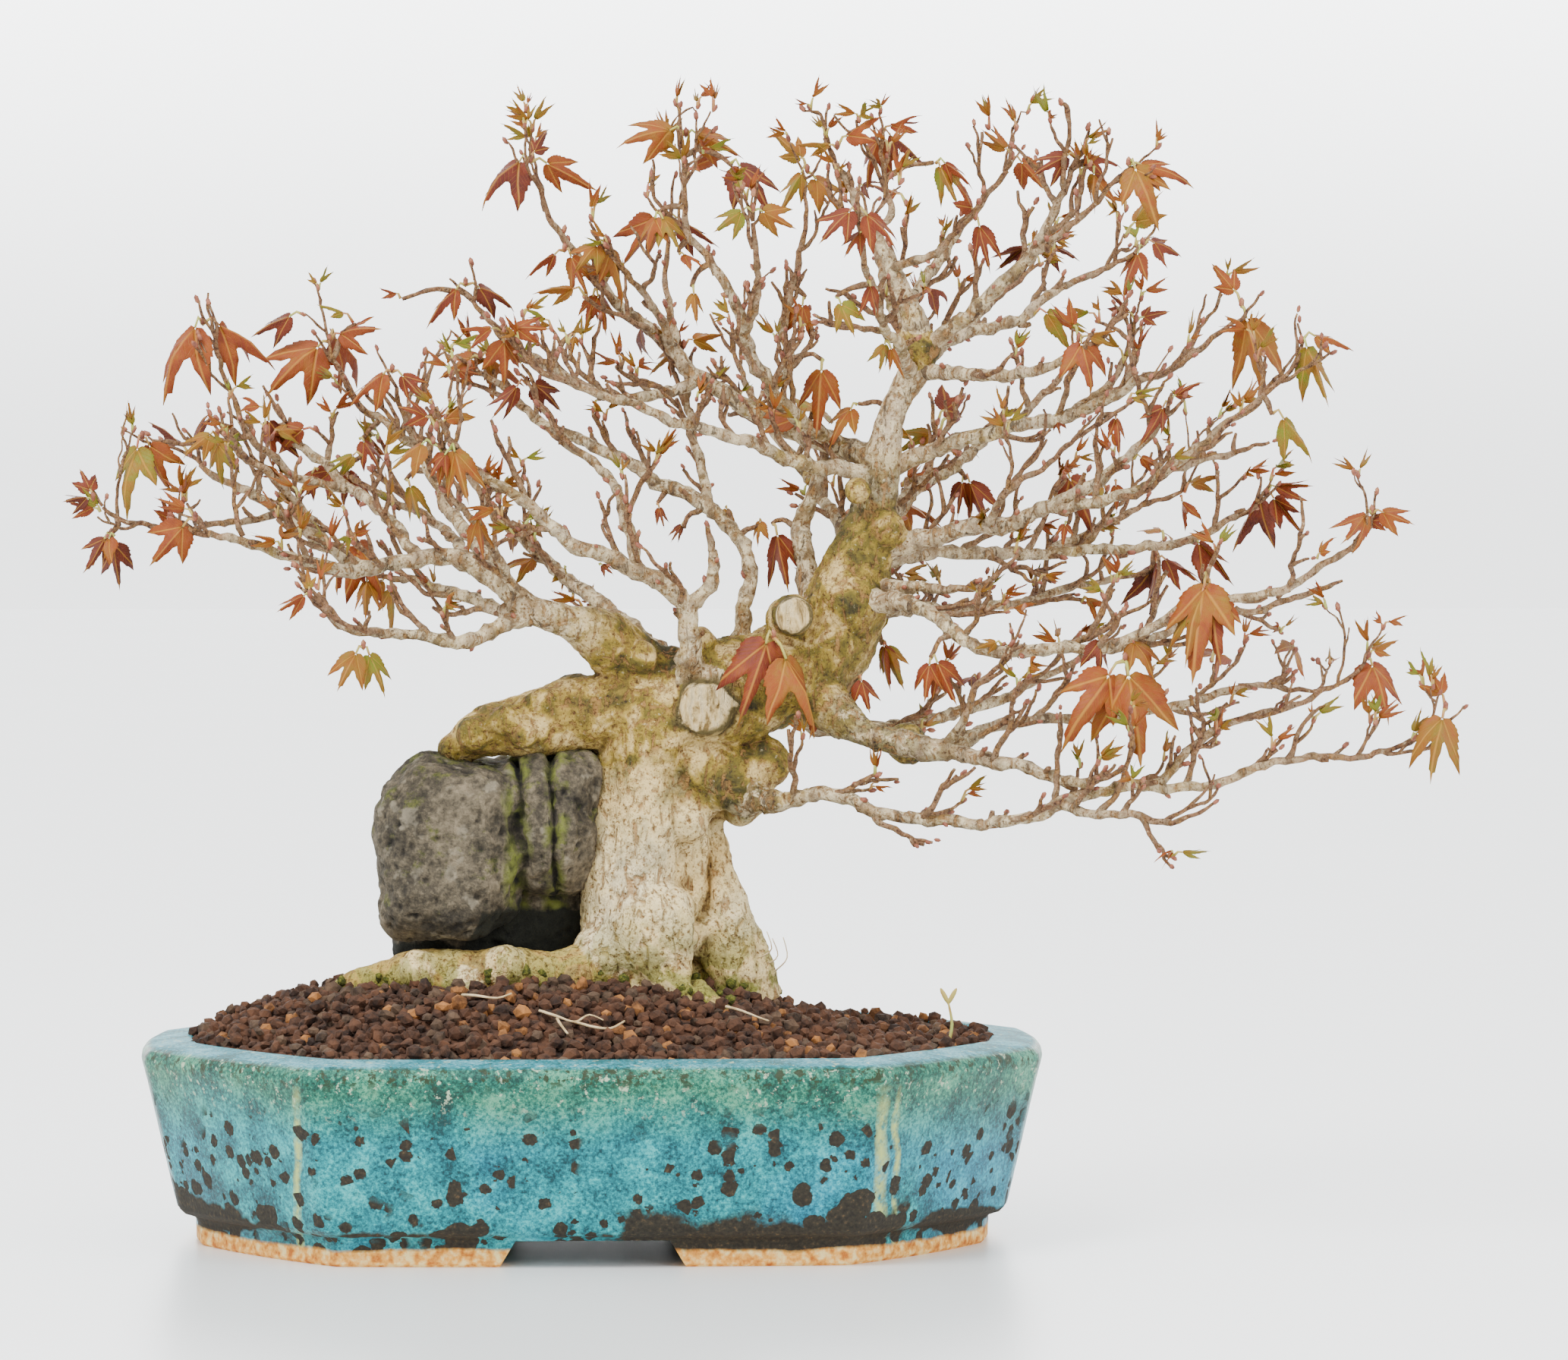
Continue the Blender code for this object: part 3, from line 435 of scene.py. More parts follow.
mottle = noise_node(place, 85.0, 6.0, 0.6)
mottle = mottle * 0.42 + noise_node(place, 950.0, 5.0, 0.75) * 0.58
clouds = noise_node(place, 22.0, 3.0, 0.5)
fine = noise_node(place, 900.0, 2.0, 0.6)
body = ramp(mottle, [(0.41, (0.001, 0.04, 0.05)), (0.475, (0.002, 0.135, 0.165)),
    (0.53, (0.003, 0.26, 0.285)), (0.61, (0.06, 0.48, 0.48))])
bluer = ramp(mottle, [(0.41, (0.001, 0.045, 0.08)), (0.475, (0.002, 0.14, 0.22)),
    (0.53, (0.003, 0.25, 0.38)), (0.62, (0.07, 0.45, 0.58))])
cloudy = ramp(clouds, [(0.48, 0.0), (0.66, 0.8)])
body = mix(cloudy, body, bluer)
# Greener where the glaze is thick, under the lip.
upper = between(height + (clouds - 0.5) * 0.03, 0.033, 0.049)
green = ramp(mottle, [(0.42, (0.003, 0.035, 0.018)), (0.5, (0.012, 0.14, 0.065)),
    (0.58, (0.12, 0.34, 0.15))])
body = mix(upper * 0.8, body, green)
# Bluish, paler glaze on the lip's flat top.
lip_blue = ramp(mottle, [(0.42, (0.008, 0.11, 0.12)), (0.5, (0.02, 0.26, 0.33)), (0.6, (0.22, 0.5, 0.56))])
body = mix(between(height, 0.0562, 0.0572), body, lip_blue)

# Yellow-green runs down the soft corners, where the glaze slid off the arris.
wobble = (noise_node(place, 60.0) - 0.5) * 0.006
corner_x = POT_LENGTH / 2 - CORNER_LENGTH
runs = 0.0
for middle, width in ((-corner_x, 0.0013), (corner_x - 0.0015, 0.0024), (corner_x + 0.003, 0.0010)):
    offset = across - (pot_middle.x + middle) - wobble
    band = maths("ABSOLUTE", offset) / width
    runs = maths("MAXIMUM", runs, maths("SUBTRACT", 1.0, band, clamp=True))
runs = runs * (1.0 - between(height, 0.04, 0.052))
broken = ramp(noise_node(place, 180.0, 5.0, 0.7), [(0.38, 0.0), (0.55, 1.0)])
runs = runs ** 0.6 * broken
body = mix(runs, body, (0.46, 0.55, 0.17))

# Dark specks where the glaze breaks over the shoulder, and large crawled spots low down.
shoulder = between(height, 0.049, 0.0535) * (1.0 - between(height, 0.0562, 0.0575))
specks = ramp(noise_node(place, 330.0, 4.0, 0.7), [(0.52, 0.0), (0.58, 1.0)])
chalk = ramp(noise_node(place, 420.0, 3.0, 0.7), [(0.6, 0.0), (0.66, 0.8)])
body = mix(chalk * between(height, 0.04, 0.05), body, (0.52, 0.62, 0.42))
body = mix(shoulder * specks, body, (0.02, 0.035, 0.012))
low = 1.0 - between(height, 0.008, 0.04)
spot_field = add(tree, "TexVoronoi", {"feature": "F1"}, {"Vector": place, "Scale": 120.0,
    "Randomness": 1.0})["Distance"]
spot_warp = spot_field + noise_node(place, 260.0) * 0.35
spot_gate = noise_node(place, 30.0, 2.0)
spot_size = maths("SUBTRACT", spot_gate, 0.44, clamp=True) * low
spots_and_cove_shade = spot_size * 4.6 - spot_warp
spots_and_cove_shade = ramp(spots_and_cove_shade + 0.5, [(0.5, 0.0), (0.53, 1.0)])
pit_cells = add(tree, "TexVoronoi", {"feature": "F1"}, {"Vector": place, "Scale": 235.0, "Randomness": 1.0})
cell_dice = add(tree, "SeparateColor", None, {"Color": pit_cells["Color"]})["Red"]
pit_edge = pit_cells["Distance"] + (noise_node(place, 620.0) - 0.5) * 0.6
pit_size = (cell_dice - 0.4) * 1.15
pits = ramp(pit_size - pit_edge + 0.5, [(0.5, 0.0), (0.53, 1.0)])
pit_zone = between(height, 0.047, 0.04) * ramp(noise_node(place, 34.0, 3.0), [(0.37, 0.0), (0.43, 1.0)])
spots_and_cove_shade = maths("MAXIMUM", spots_and_cove_shade, pits * pit_zone)
# Dark bare patches along the bottom right of the front, and painted shade in the cove above the foot.
patch_noise = (noise_node(place, 45.0, 5.0, 0.65) - 0.5) * 0.05
patch_x = maths("ABSOLUTE", across - (pot_middle.x + 0.046))
patch = 0.04 - (patch_x + patch_noise)
patch_z = 0.0165 - (height + patch_noise * 0.5)
patch = maths("MINIMUM", patch, patch_z)
# Painted shade: a band round the cove above the foot, darkened like bare clay.
cove = 0.0022 - maths("ABSOLUTE", height - 0.0092)
cove = cove + (noise_node(place, 26.0, 4.0) - 0.53) * 0.03
bare_patch_and_cove_shade = maths("MAXIMUM", maths("MULTIPLY", patch, 300.0, clamp=True),
    maths("MULTIPLY", cove, 900.0, clamp=True))
spots_and_cove_shade = maths("MAXIMUM", spots_and_cove_shade, bare_patch_and_cove_shade)
dark_clay_and_shade = ramp(fine, [(0.3, (0.012, 0.009, 0.006)), (0.6, (0.03, 0.024, 0.014)),
    (0.75, (0.09, 0.055, 0.025))])
# The dark clay colour is real in the crawled spots and bare patches, and painted shade in the cove.
body = mix(spots_and_cove_shade, body, dark_clay_and_shade)

# Bare orange clay on the foot's edge.
foot_edge = height + patch_noise * 0.08
clay_mask = 1.0 - between(foot_edge, 0.0042, 0.0052)
clay = ramp(noise_node(place, 400.0), [(0.34, (0.5, 0.14, 0.015)), (0.5, (0.84, 0.4, 0.07)),
    (0.64, (0.92, 0.7, 0.3))])
body = mix(clay_mask, body, clay)
inside_wall = between(height, 0.06, 0.061)
body = mix(inside_wall, body, clay)

dull = maths("MAXIMUM", spots_and_cove_shade, clay_mask)
roughness = add(tree, "MapRange", None, {"Value": dull, "To Min": 0.22, "To Max": 0.62})
roughness = roughness["Result"] + mottle * 0.16
roughness = roughness + between(height, 0.0562, 0.0572) * 0.25
coat(shader, body, roughness, 0.3)
relief = mottle * 0.9 + fine * 0.08
relief = relief - dull * 0.35
bump(shader, relief, 0.45, 0.0014)
print("glaze nodes:", len(tree.nodes))

# %% Finish the pot
pot_piece = finish_piece("pot_body", pot_work, glaze, ["pot"])
boolean_cut(pot_piece, foot_wedge(), "foot_gap")
for side in ("left", "right"):
    clip_low, clip_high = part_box("screen_clip_" + side)
    hole = bmesh.new()
    bmesh.ops.create_cone(hole, cap_ends=True, segments=32, radius1=0.0115, radius2=0.0115, depth=0.05)
    bmesh.ops.translate(hole, vec=((clip_low.x + clip_high.x) / 2, 0, 0), verts=hole.verts)
    boolean_cut(pot_piece, hole, "drain_" + side)
pot_piece.data.shade_smooth()
pot_piece.data.set_sharp_from_angle(angle=math.radians(38))

# %% [markdown]
# ## The soil bed
#
# The pot is filled with baked clay grains, heaped towards the trunk. A heap of physics
# grains would take minutes to settle, and only the top layer ever shows. So the working
# solid's own surface becomes a dark, lumpy bed, and several thousand grains are set into
# it, each a twenty-sided ball pulled out of round and turned its own way. The grains are
# joined in groups by colour, because real grains differ from one to the next.

# %% Soil bed from the working solid
def copy_of_node(name):
    """The working solid's mesh with its loose triangles merged."""
    work = bmesh.new()
    work.from_mesh(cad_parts[name].data)
    bmesh.ops.remove_doubles(work, verts=work.verts, dist=1e-6)
    return work


grain_looks = {}
for look_name, dark, pale in (
        ("brown_baked_clay", (0.020, 0.009, 0.005), (0.115, 0.046, 0.020)),
        ("orange_baked_clay", (0.09, 0.034, 0.010), (0.42, 0.17, 0.045)),
        ("grey_baked_clay", (0.026, 0.015, 0.009), (0.13, 0.075, 0.042))):
    look, tree, shader, place = new_material(look_name)
    patches = noise_node(place, 190.0, 2.0)
    dust = noise_node(place, 1500.0, 4.0, 0.7)
    blend = patches * 0.75 + dust * 0.3
    feed(shader.inputs["Base Color"], ramp(blend, [(0.38, dark), (0.66, pale)]))
    feed(shader.inputs["Roughness"], 0.93)
    bump(shader, dust, 0.5, 0.0006)
    grain_looks[look_name] = look

soil_work = copy_of_node("soil")
top_faces = [face for face in soil_work.faces if face.normal.z > 0.3 and face.calc_center_median().z > 0.052]
bmesh.ops.subdivide_edges(soil_work, edges=list({edge for face in top_faces for edge in face.edges}),
                          cuts=3, use_grid_fill=True)
for vert in soil_work.verts:
    if vert.co.z > 0.056:
        lump = noise.noise(vert.co * 260) * 0.0007 - 0.0011
        vert.co.z += lump
bmesh.ops.recalc_face_normals(soil_work, faces=soil_work.faces)
finish_piece("soil_bed", soil_work, grain_looks["brown_baked_clay"], ["soil"])

# %% [markdown]
# Grains are dropped on the bed from above: a tree of the soil's triangles answers where a
# falling ray lands, and another of the wood and the rock tells where a grain would be
# inside them. Rows are staggered and each place is shifted by chance, with a fixed seed,
# so that no two runs differ.

# %% Scatter the grains
def surface_tree(name):
    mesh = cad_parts[name].data
    return BVHTree.FromPolygons([v.co for v in mesh.vertices], [p.vertices for p in mesh.polygons])


soil_surface = surface_tree("soil")
obstacles = [surface_tree("wood"), surface_tree("rock")]


def inside(tree_of_solid, point):
    """True if point is inside a closed solid."""
    place, normal, _, distance = tree_of_solid.find_nearest(point)
    return (point - place).dot(normal) < 0 and distance < 0.03


def landing(x, y):
    """Where a grain dropped at (x, y) meets the soil."""
    hit, normal, _, _ = soil_surface.ray_cast(Vector((x, y, 0.2)), Vector((0, 0, -1)))
    return hit, normal


def grain(work, place, size, dice):
    """One clay grain, out of round and turned by chance."""
    made = bmesh.ops.create_icosphere(work, subdivisions=1, radius=size)["verts"]
    for vert in made:
        vert.co *= dice.uniform(0.78, 1.15)
    bmesh.ops.scale(work, vec=(dice.uniform(0.8, 1.25), dice.uniform(0.8, 1.1), dice.uniform(0.65, 0.95)),
        verts=made)
    turn = Matrix.Rotation(dice.uniform(0, 6.28), 4, "Z") @ Matrix.Rotation(dice.uniform(0, 6.28), 4, "X")
    bmesh.ops.transform(work, matrix=Matrix.Translation(place) @ turn, verts=made)


GRAIN_SPACING = 0.0037
GRAIN_SIZES = (0.0017, 0.0020, 0.0023, 0.0026)
dice = random.Random(7)
groups = {name: [] for name in grain_looks}
for lift, spacing in ((-0.0006, GRAIN_SPACING), (0.0014, GRAIN_SPACING * 1.9)):
    rows = int(POT_DEPTH / spacing)
    columns = int(POT_LENGTH / spacing)
    for row in range(rows):
        for column in range(columns):
            x = pot_low.x + (column + (row % 2) / 2 + dice.uniform(-0.35, 0.35)) * spacing
            y = pot_low.y + (row + dice.uniform(-0.35, 0.35)) * spacing
            hit, normal = landing(x, y)
            if not hit or hit.z < 0.0555 or normal.z < 0.3:
                continue
            size = dice.choice(GRAIN_SIZES)
            place = hit + Vector((0, 0, lift + dice.uniform(-0.0004, 0.0005)))
            if any(inside(solid, place) for solid in obstacles):
                continue
            kind = dice.choices(list(groups), weights=(11, 1, 2.2))[0]
            groups[kind].append((place, size))
for kind, places in groups.items():
    work = bmesh.new()
    for place, size in places:
        single = bmesh.new()
        grain(single, place, size, dice)
        join_into(work, single)
    finish_piece("grains_" + kind.split("_")[0], work, grain_looks[kind], (), smooth=False)
    print(kind, len(places), "grains")

# %% [markdown]
# ## The rock
#
# A weathered, lobed lump of dark lava-like stone, pitted all over, with lichen and moss
# in its hollows. Its shape is the working solid, so the roots still fit their grooves.
# A voxel remesh gives it an even skin, and that skin is moved in and out by three sizes
# of noise: swellings, sharp ridges and small pits.

# %% Rock
def remeshed(work, name, voxel):
    """An even quad skin over a closed bmesh, as a new bmesh."""
    carrier = new_object(name, work)
    skin = carrier.modifiers.new("skin", "REMESH")
    skin.mode = "VOXEL"
    skin.voxel_size = voxel
    apply_modifiers(carrier)
    even = bmesh.new()
    even.from_mesh(carrier.data)
    bpy.data.objects.remove(carrier)
    return even


def relax(work, times, factor):
    for _ in range(times):
        bmesh.ops.smooth_vert(work, verts=work.verts, factor=factor,
                              use_axis_x=True, use_axis_y=True, use_axis_z=True)


VOXEL = 0.0009
CLEFTS = (-0.0685, -0.0575)
rock_work = remeshed(copy_of_node("rock"), "rock_skin", VOXEL)
relax(rock_work, 2, 0.5)
rock_work.normal_update()
for vert in rock_work.verts:
    swell = noise.fractal(vert.co * 70, 0.9, 2.1, 4) * 0.0013
    ridge = (0.5 - abs(noise.noise(vert.co * 130 + Vector((3, 1, 7))))) * 0.0016
    pit = max(0.0, noise.noise(vert.co * 420) - 0.15) * 0.0022
    # Upright clefts in the right half; the dark hollow under them is not cut here but is painted shade in the
    # rock's colour.
    drift = noise.noise(vert.co * 60) * 0.004
    cleft = sum(math.exp(-((vert.co.x - x + drift) / 0.0013) ** 2) for x in CLEFTS)
    upper = min(1.0, max(0.0, (vert.co.z - TREE_LIFT - 0.096) / 0.01)) if vert.co.y < 0 else 0.0
    pit += cleft * upper * 0.0035
    vert.co += vert.normal * (swell + ridge - pit - 0.0001)

rock_look, tree, shader, place = new_material("mossy_grey_rock")
geometry = add(tree, "NewGeometry")
facing_up = add(tree, "SeparateXYZ", None, {"Vector": geometry["Normal"]})["Z"]
coarse = noise_node(place, 60.0, 5.0, 0.65)
grit = noise_node(place, 700.0, 4.0, 0.7)
stone = ramp(coarse * 0.6 + grit * 0.4, [(0.38, (0.018, 0.014, 0.009)), (0.49, (0.08, 0.064, 0.04)),
    (0.62, (0.24, 0.19, 0.12))])
lichen = ramp(noise_node(place, 150.0, 3.0, 0.6), [(0.58, 0.0), (0.66, 1.0)])
stone = mix(lichen * 0.45, stone, (0.36, 0.31, 0.22))
moss_field = noise_node(place, 110.0, 5.0, 0.7) + facing_up * 0.1
moss = ramp(moss_field, [(0.58, 0.0), (0.66, 1.0)])
moss_tone = ramp(grit, [(0.35, (0.03, 0.04, 0.004)), (0.7, (0.17, 0.17, 0.03))])
stone = mix(moss * 0.85, stone, moss_tone)
rock_axes = add(tree, "SeparateXYZ", None, {"Vector": place})
wander = (coarse - 0.5) * 0.012
for cleft_x in CLEFTS:
    aside = maths("ABSOLUTE", rock_axes["X"] - cleft_x + wander)
    near_cleft = between(aside, 0.0042, 0.0012) * ramp(noise_node(place, 150.0, 4.0, 0.6),
        [(0.42, 0.0), (0.54, 0.9)])
    stone = mix(near_cleft, stone, (0.15, 0.17, 0.022))
    # Painted shade: the deepest line of each cleft is darkened to near black.
    cleft_shade = between(aside, 0.0014, 0.0006) * ramp(noise_node(place, 90.0, 2.0),
        [(0.46, 0.0), (0.52, 1.0)])
    stone = mix(cleft_shade, stone, (0.01, 0.01, 0.006))
# Painted shade: below a line, set higher in the right half, the rock is darkened to near black where a deep
# recess lies in shadow.
right_half = between(rock_axes["X"] + wander, -0.084, -0.079)
hollow_top = right_half * 0.01 + 0.0855
hollow_depth = hollow_top - (rock_axes["Z"] + wander)
low_hollow_shade = maths("MULTIPLY", hollow_depth, 600.0, clamp=True)
stone = mix(low_hollow_shade, stone, (0.012, 0.013, 0.007))
# Painted shade: concave places, found by pointiness, are darkened.
hollow_shade = ramp(geometry["Pointiness"], [(0.44, 0.25), (0.52, 1.0)])
stone = mix(1.0, stone, hollow_shade, "MULTIPLY")
coat(shader, stone, 0.9)
bump(shader, grit + coarse * 0.5, 0.7, 0.0012)
finish_piece("rock_body", rock_work, rock_look, ["rock"])

# %% [markdown]
# ## The routes of the limbs
#
# The tree is one grown piece, and its limbs follow the same routes as the working solid.
# Each limb is a short list of points with the wood's radius at each, thick
# end first, in millimetres. Front-to-back reach is listed smaller and stretched by one
# factor, so the whole crown can be made deeper or flatter at once.

# %% Limb routes, as in the working solid
TREE_DEPTH = 1.6

TRUNK = [
    [(-33, 0, 66, 17), (-33, 0, 80, 16.5), (-34, 0, 95, 16), (-34, 0, 112, 15.5), (-32, 0, 128, 15),
     (-29, 0, 146, 15.5), (-24, 0, 158, 13), (-18, 0, 167, 8)],
    [(-24, 0, 150, 14), (-8, 0, 157, 15), (6, 1, 161, 15), (18, 3, 168, 13.5), (25, 4, 178, 12.5),
     (29, 5, 190, 10.5), (33, 5, 203, 8.5), (36, 5, 216, 7.5), (38, 5, 228, 6.5), (41, 4, 240, 5.5),
     (47, 3, 252, 6), (47, 1, 262, 5), (43, 0, 273, 4), (38, 0, 284, 3), (31, 0, 297, 2),
     (24, 0, 311, 1.3)],
    [(-22, 1, 137, 13), (-8, 0, 132, 12), (3, -1, 130, 8.5)],
]
ROOTS = [
    [(-22, 0, 122, 11), (-18, 2, 112, 10.5), (-14, 3, 100, 10.5), (-8, 4, 85, 11.5), (-4, 5, 66, 13)],
    [(-36, 0, 152, 12.5), (-50, -1, 151, 10), (-63, -2, 149, 9.5), (-74, -2, 147, 8.5),
     (-82, 0, 144, 6.5), (-87, 4, 138, 4.5), (-91, 12, 126, 4), (-94, 17, 108, 4), (-96, 19, 88, 4),
     (-98, 19, 66, 3.5)],
    [(-42, -5, 80, 8.5), (-55, -8, 77, 7.5), (-70, -9, 76, 8), (-85, -9, 76, 8), (-98, -8, 76, 7.5),
     (-108, -6, 75, 6), (-118, -4, 71, 5), (-126, -2, 64, 4)],
    [(-36, 8, 78, 9), (-44, 14, 70, 7), (-54, 22, 62, 4.5)],
    [(-26, -7, 76, 8), (-16, -13, 69, 6), (-6, -18, 61, 4)],
]
LEFT_LOW = [
    [(-30, 2, 160, 11), (-38, 0, 168, 9.5), (-46, -4, 175, 8), (-56, -8, 179, 6), (-65, -10, 182, 5.2),
     (-73, -8, 189, 4.4), (-82, -6, 195, 4), (-93, -6, 196.5, 3.4), (-105, -8, 195, 3),
     (-117, -10, 194, 2.8), (-128, -12, 195.5, 2.3), (-138, -14, 198.5, 2), (-147, -16, 200.5, 1.8),
     (-157, -18, 205, 1.3)],
    [(-63, -9, 181, 4), (-75, -14, 176, 3.2), (-85, -17, 173, 3), (-97, -20, 175, 2.4),
     (-107, -22, 176, 2), (-116, -24, 177, 1.8), (-124, -25, 183, 1.2)],
    [(-65, -10, 181, 4), (-75, -4, 182, 3), (-84, 2, 186, 2.6), (-94, 8, 189, 2.2), (-103, 12, 190, 1.5)],
    [(-112, -9, 195, 2.6), (-122, -4, 199, 2.6), (-130, 0, 205, 2.4), (-138, 3, 210, 2.3),
     (-147, 6, 215, 2), (-155, 8, 219.5, 1.5), (-161, 9, 223, 1.2)],
    [(-138, 3, 210, 1.8), (-148, 0, 207, 1.5), (-158, -4, 205.3, 1.3), (-170, -7, 205.3, 1.2),
     (-180, -9, 207.5, 1.1), (-187, -10, 211, 0.9)],
    [(-97, -6, 196, 2.6), (-104, 0, 206, 2.3), (-112, 5, 213, 2.2), (-126, 12, 224, 2),
     (-134, 14, 230, 1.8), (-139, 15, 235, 1.2)],
    [(-122, -4, 199, 2.2), (-131, -8, 212, 1.8), (-137, -11, 218, 1.6), (-144, -13, 224, 1.5),
     (-151, -15, 229, 1.1)],
    [(-118, 7, 217, 2), (-131, 4, 219, 1.8), (-139, 0, 226, 1.6), (-146, -3, 232, 1.4),
     (-150, -4, 242, 1.1), (-156, -5, 260, 0.9)],
    [(-145, -3, 231, 1.3), (-156, -6, 230.5, 1.1), (-166, -8, 230.5, 1), (-173, -9, 231, 0.8)],
    [(-72, -8, 189, 3.5), (-80, -2, 199, 3.2), (-87, 4, 209, 2.8), (-93, 8, 219, 2.4),
     (-99, 11, 228, 2), (-107, 14, 235, 1.7), (-114, 16, 241, 1.4), (-123, 18, 255, 0.9)],
    [(-98, 11, 227, 1.7), (-102, 8, 238, 1.2), (-104, 6, 246, 0.9)],
    [(-69, -9, 186, 2.4), (-74, -16, 197, 1.8), (-80, -20, 207, 1.6), (-87, -24, 216, 1.4),
     (-90, -26, 226, 1.1)],
    [(-78, -5, 193, 2.6), (-90, 16, 204, 2), (-98, 24, 210, 1.7), (-108, 30, 214, 1.4),
     (-118, 36, 220, 1.1)],
]
STEMS = [
    [(-20, -4, 158, 5), (-19, -8, 172, 4.2), (-20, -9, 184, 4), (-30, -12, 191, 3.6),
     (-41, -15, 196, 3.3), (-52, -18, 201, 3), (-61, -20, 208, 2.6), (-70, -22, 215, 2.3),
     (-79, -24, 221, 1.9), (-88, -27, 230, 1.2)],
    [(-20, -9, 182, 3.4), (-12, -10, 190, 2.8), (-12, -11, 199, 2.1)],
    [(-34, -13, 192, 2.8), (-36, -7, 202, 2.4), (-41, 0, 218, 2), (-49, 5, 226, 1.8),
     (-58, 8, 234, 1.5), (-64, 10, 243, 1.2)],
    [(-6, 2, 162, 5), (-3, 2, 180, 3.4), (-2, 4, 196, 3), (-9, 7, 206, 3), (-16, 9, 213, 3),
     (-27, 12, 218, 2.8), (-38, 15, 225, 2.6), (-50, 18, 230, 2.4), (-61, 21, 236, 2.1),
     (-70, 24, 242, 1.7), (-78, 26, 250, 1.2)],
    [(-14, 8, 211, 2.6), (-15, 12, 222, 2), (-18, 15, 232, 1.9), (-19, 18, 243, 1.7), (-20, 20, 254, 1.3)],
    [(20, 3, 172, 6), (16, 8, 190, 4.5), (14, 10, 205, 4), (19, 12, 221, 2.6)],
]
CROWN_LEFT = [
    [(37, 5, 221, 3.6), (26, 3, 222, 3.2), (15, 0, 223, 3), (5, -4, 227, 2.8), (-5, -8, 231, 2.5),
     (-16, -12, 234, 2.2), (-27, -15, 238, 2), (-38, -18, 242, 1.8), (-50, -20, 245, 1.6),
     (-60, -22, 250, 1.4), (-69, -24, 257, 1)],
    [(37, 5, 225, 5), (18, 12, 231, 4), (4, 14, 237, 3.8), (-8, 15, 244, 3.5), (-18, 16, 251, 3.2),
     (-24, 17, 259, 2.9), (-33, 18, 265, 2.5), (-42, 18, 274, 2.1), (-50, 18, 284, 1.7),
     (-57, 17, 293, 1.4), (-64, 16, 308, 0.9)],
    [(-16, 16, 249, 2.8), (-28, 14, 244, 2.4), (-38, 12, 242, 2.3), (-49, 12, 246, 2.1),
     (-59, 12, 251, 1.9), (-68, 13, 257, 1.6), (-76, 14, 264, 1.3), (-82, 15, 272, 1)],
    [(-24, 17, 258, 2.2), (-28, 10, 268, 1.7), (-35, 6, 276, 1.4), (-41, 4, 284, 1)],
    [(-22, 17, 256, 2.2), (-24, 22, 270, 1.5), (-25, 24, 281, 1.2), (-26, 24, 292, 0.9)],
    [(24, 9, 229, 3.8), (12, 2, 238, 3.2), (4, -2, 247, 3), (-2, -4, 256, 2.8), (-4, -6, 266, 2.4),
     (-8, -8, 276, 2), (-14, -8, 284, 1.7), (-20, -8, 292, 1.4), (-20, -9, 314, 0.9)],
    [(-3, -5, 260, 2.2), (0, -10, 272, 1.6), (1, -13, 282, 1.4), (-1, -15, 292, 1)],
    [(5, -1, 245, 2.4), (11, 4, 254, 1.9), (9, 8, 263, 1.7), (11, 10, 274, 1.5), (14, 12, 285, 1.3),
     (16, 13, 305, 0.8)],
]
CROWN_RIGHT = [
    [(47, 2, 256, 4), (58, -2, 263, 3.2), (66, -5, 270, 2.9), (74, -8, 278, 2.6), (81, -10, 287, 2.2),
     (86, -11, 297, 1.7), (91, -12, 308, 1.1)],
    [(77, -9, 282, 2), (88, -14, 291, 1.5), (97, -17, 298, 1.2), (104, -19, 306, 0.9)],
    [(44, 0, 269, 3), (50, 5, 277, 2.5), (55, 8, 285, 2.2), (61, 10, 293, 1.8), (68, 12, 301, 1.4),
     (75, 13, 309, 1)],
    [(49, 2, 258, 3.4), (61, 6, 261, 2.8), (72, 10, 264, 2.5), (82, 13, 269, 2.1), (90, 15, 275, 1.7),
     (98, 17, 279, 1.4), (112, 19, 285, 1)],
    [(49, 2, 251, 3.6), (60, -6, 250, 2.8), (70, -12, 249, 2.6), (80, -16, 251, 2.2), (90, -18, 255, 1.6)],
    [(39, 0, 280, 2.2), (48, -5, 283, 1.8), (60, -11, 291, 1.1)],
    [(35, 0, 289, 2), (39, 4, 298, 1.5), (37, 6, 315, 0.9)],
    [(46, 3, 254, 3.4), (44, 16, 264, 2.6), (40, 28, 274, 2.2), (38, 36, 286, 1.6), (36, 42, 297, 1.1)],
    [(47, 3, 250, 3.6), (56, 18, 258, 2.4), (66, 30, 266, 2), (76, 38, 275, 1.5), (84, 44, 284, 1)],
    [(46, 2, 250, 3.6), (40, -14, 258, 2.3), (34, -26, 268, 1.9), (30, -34, 280, 1.4), (28, -38, 291, 1)],
]
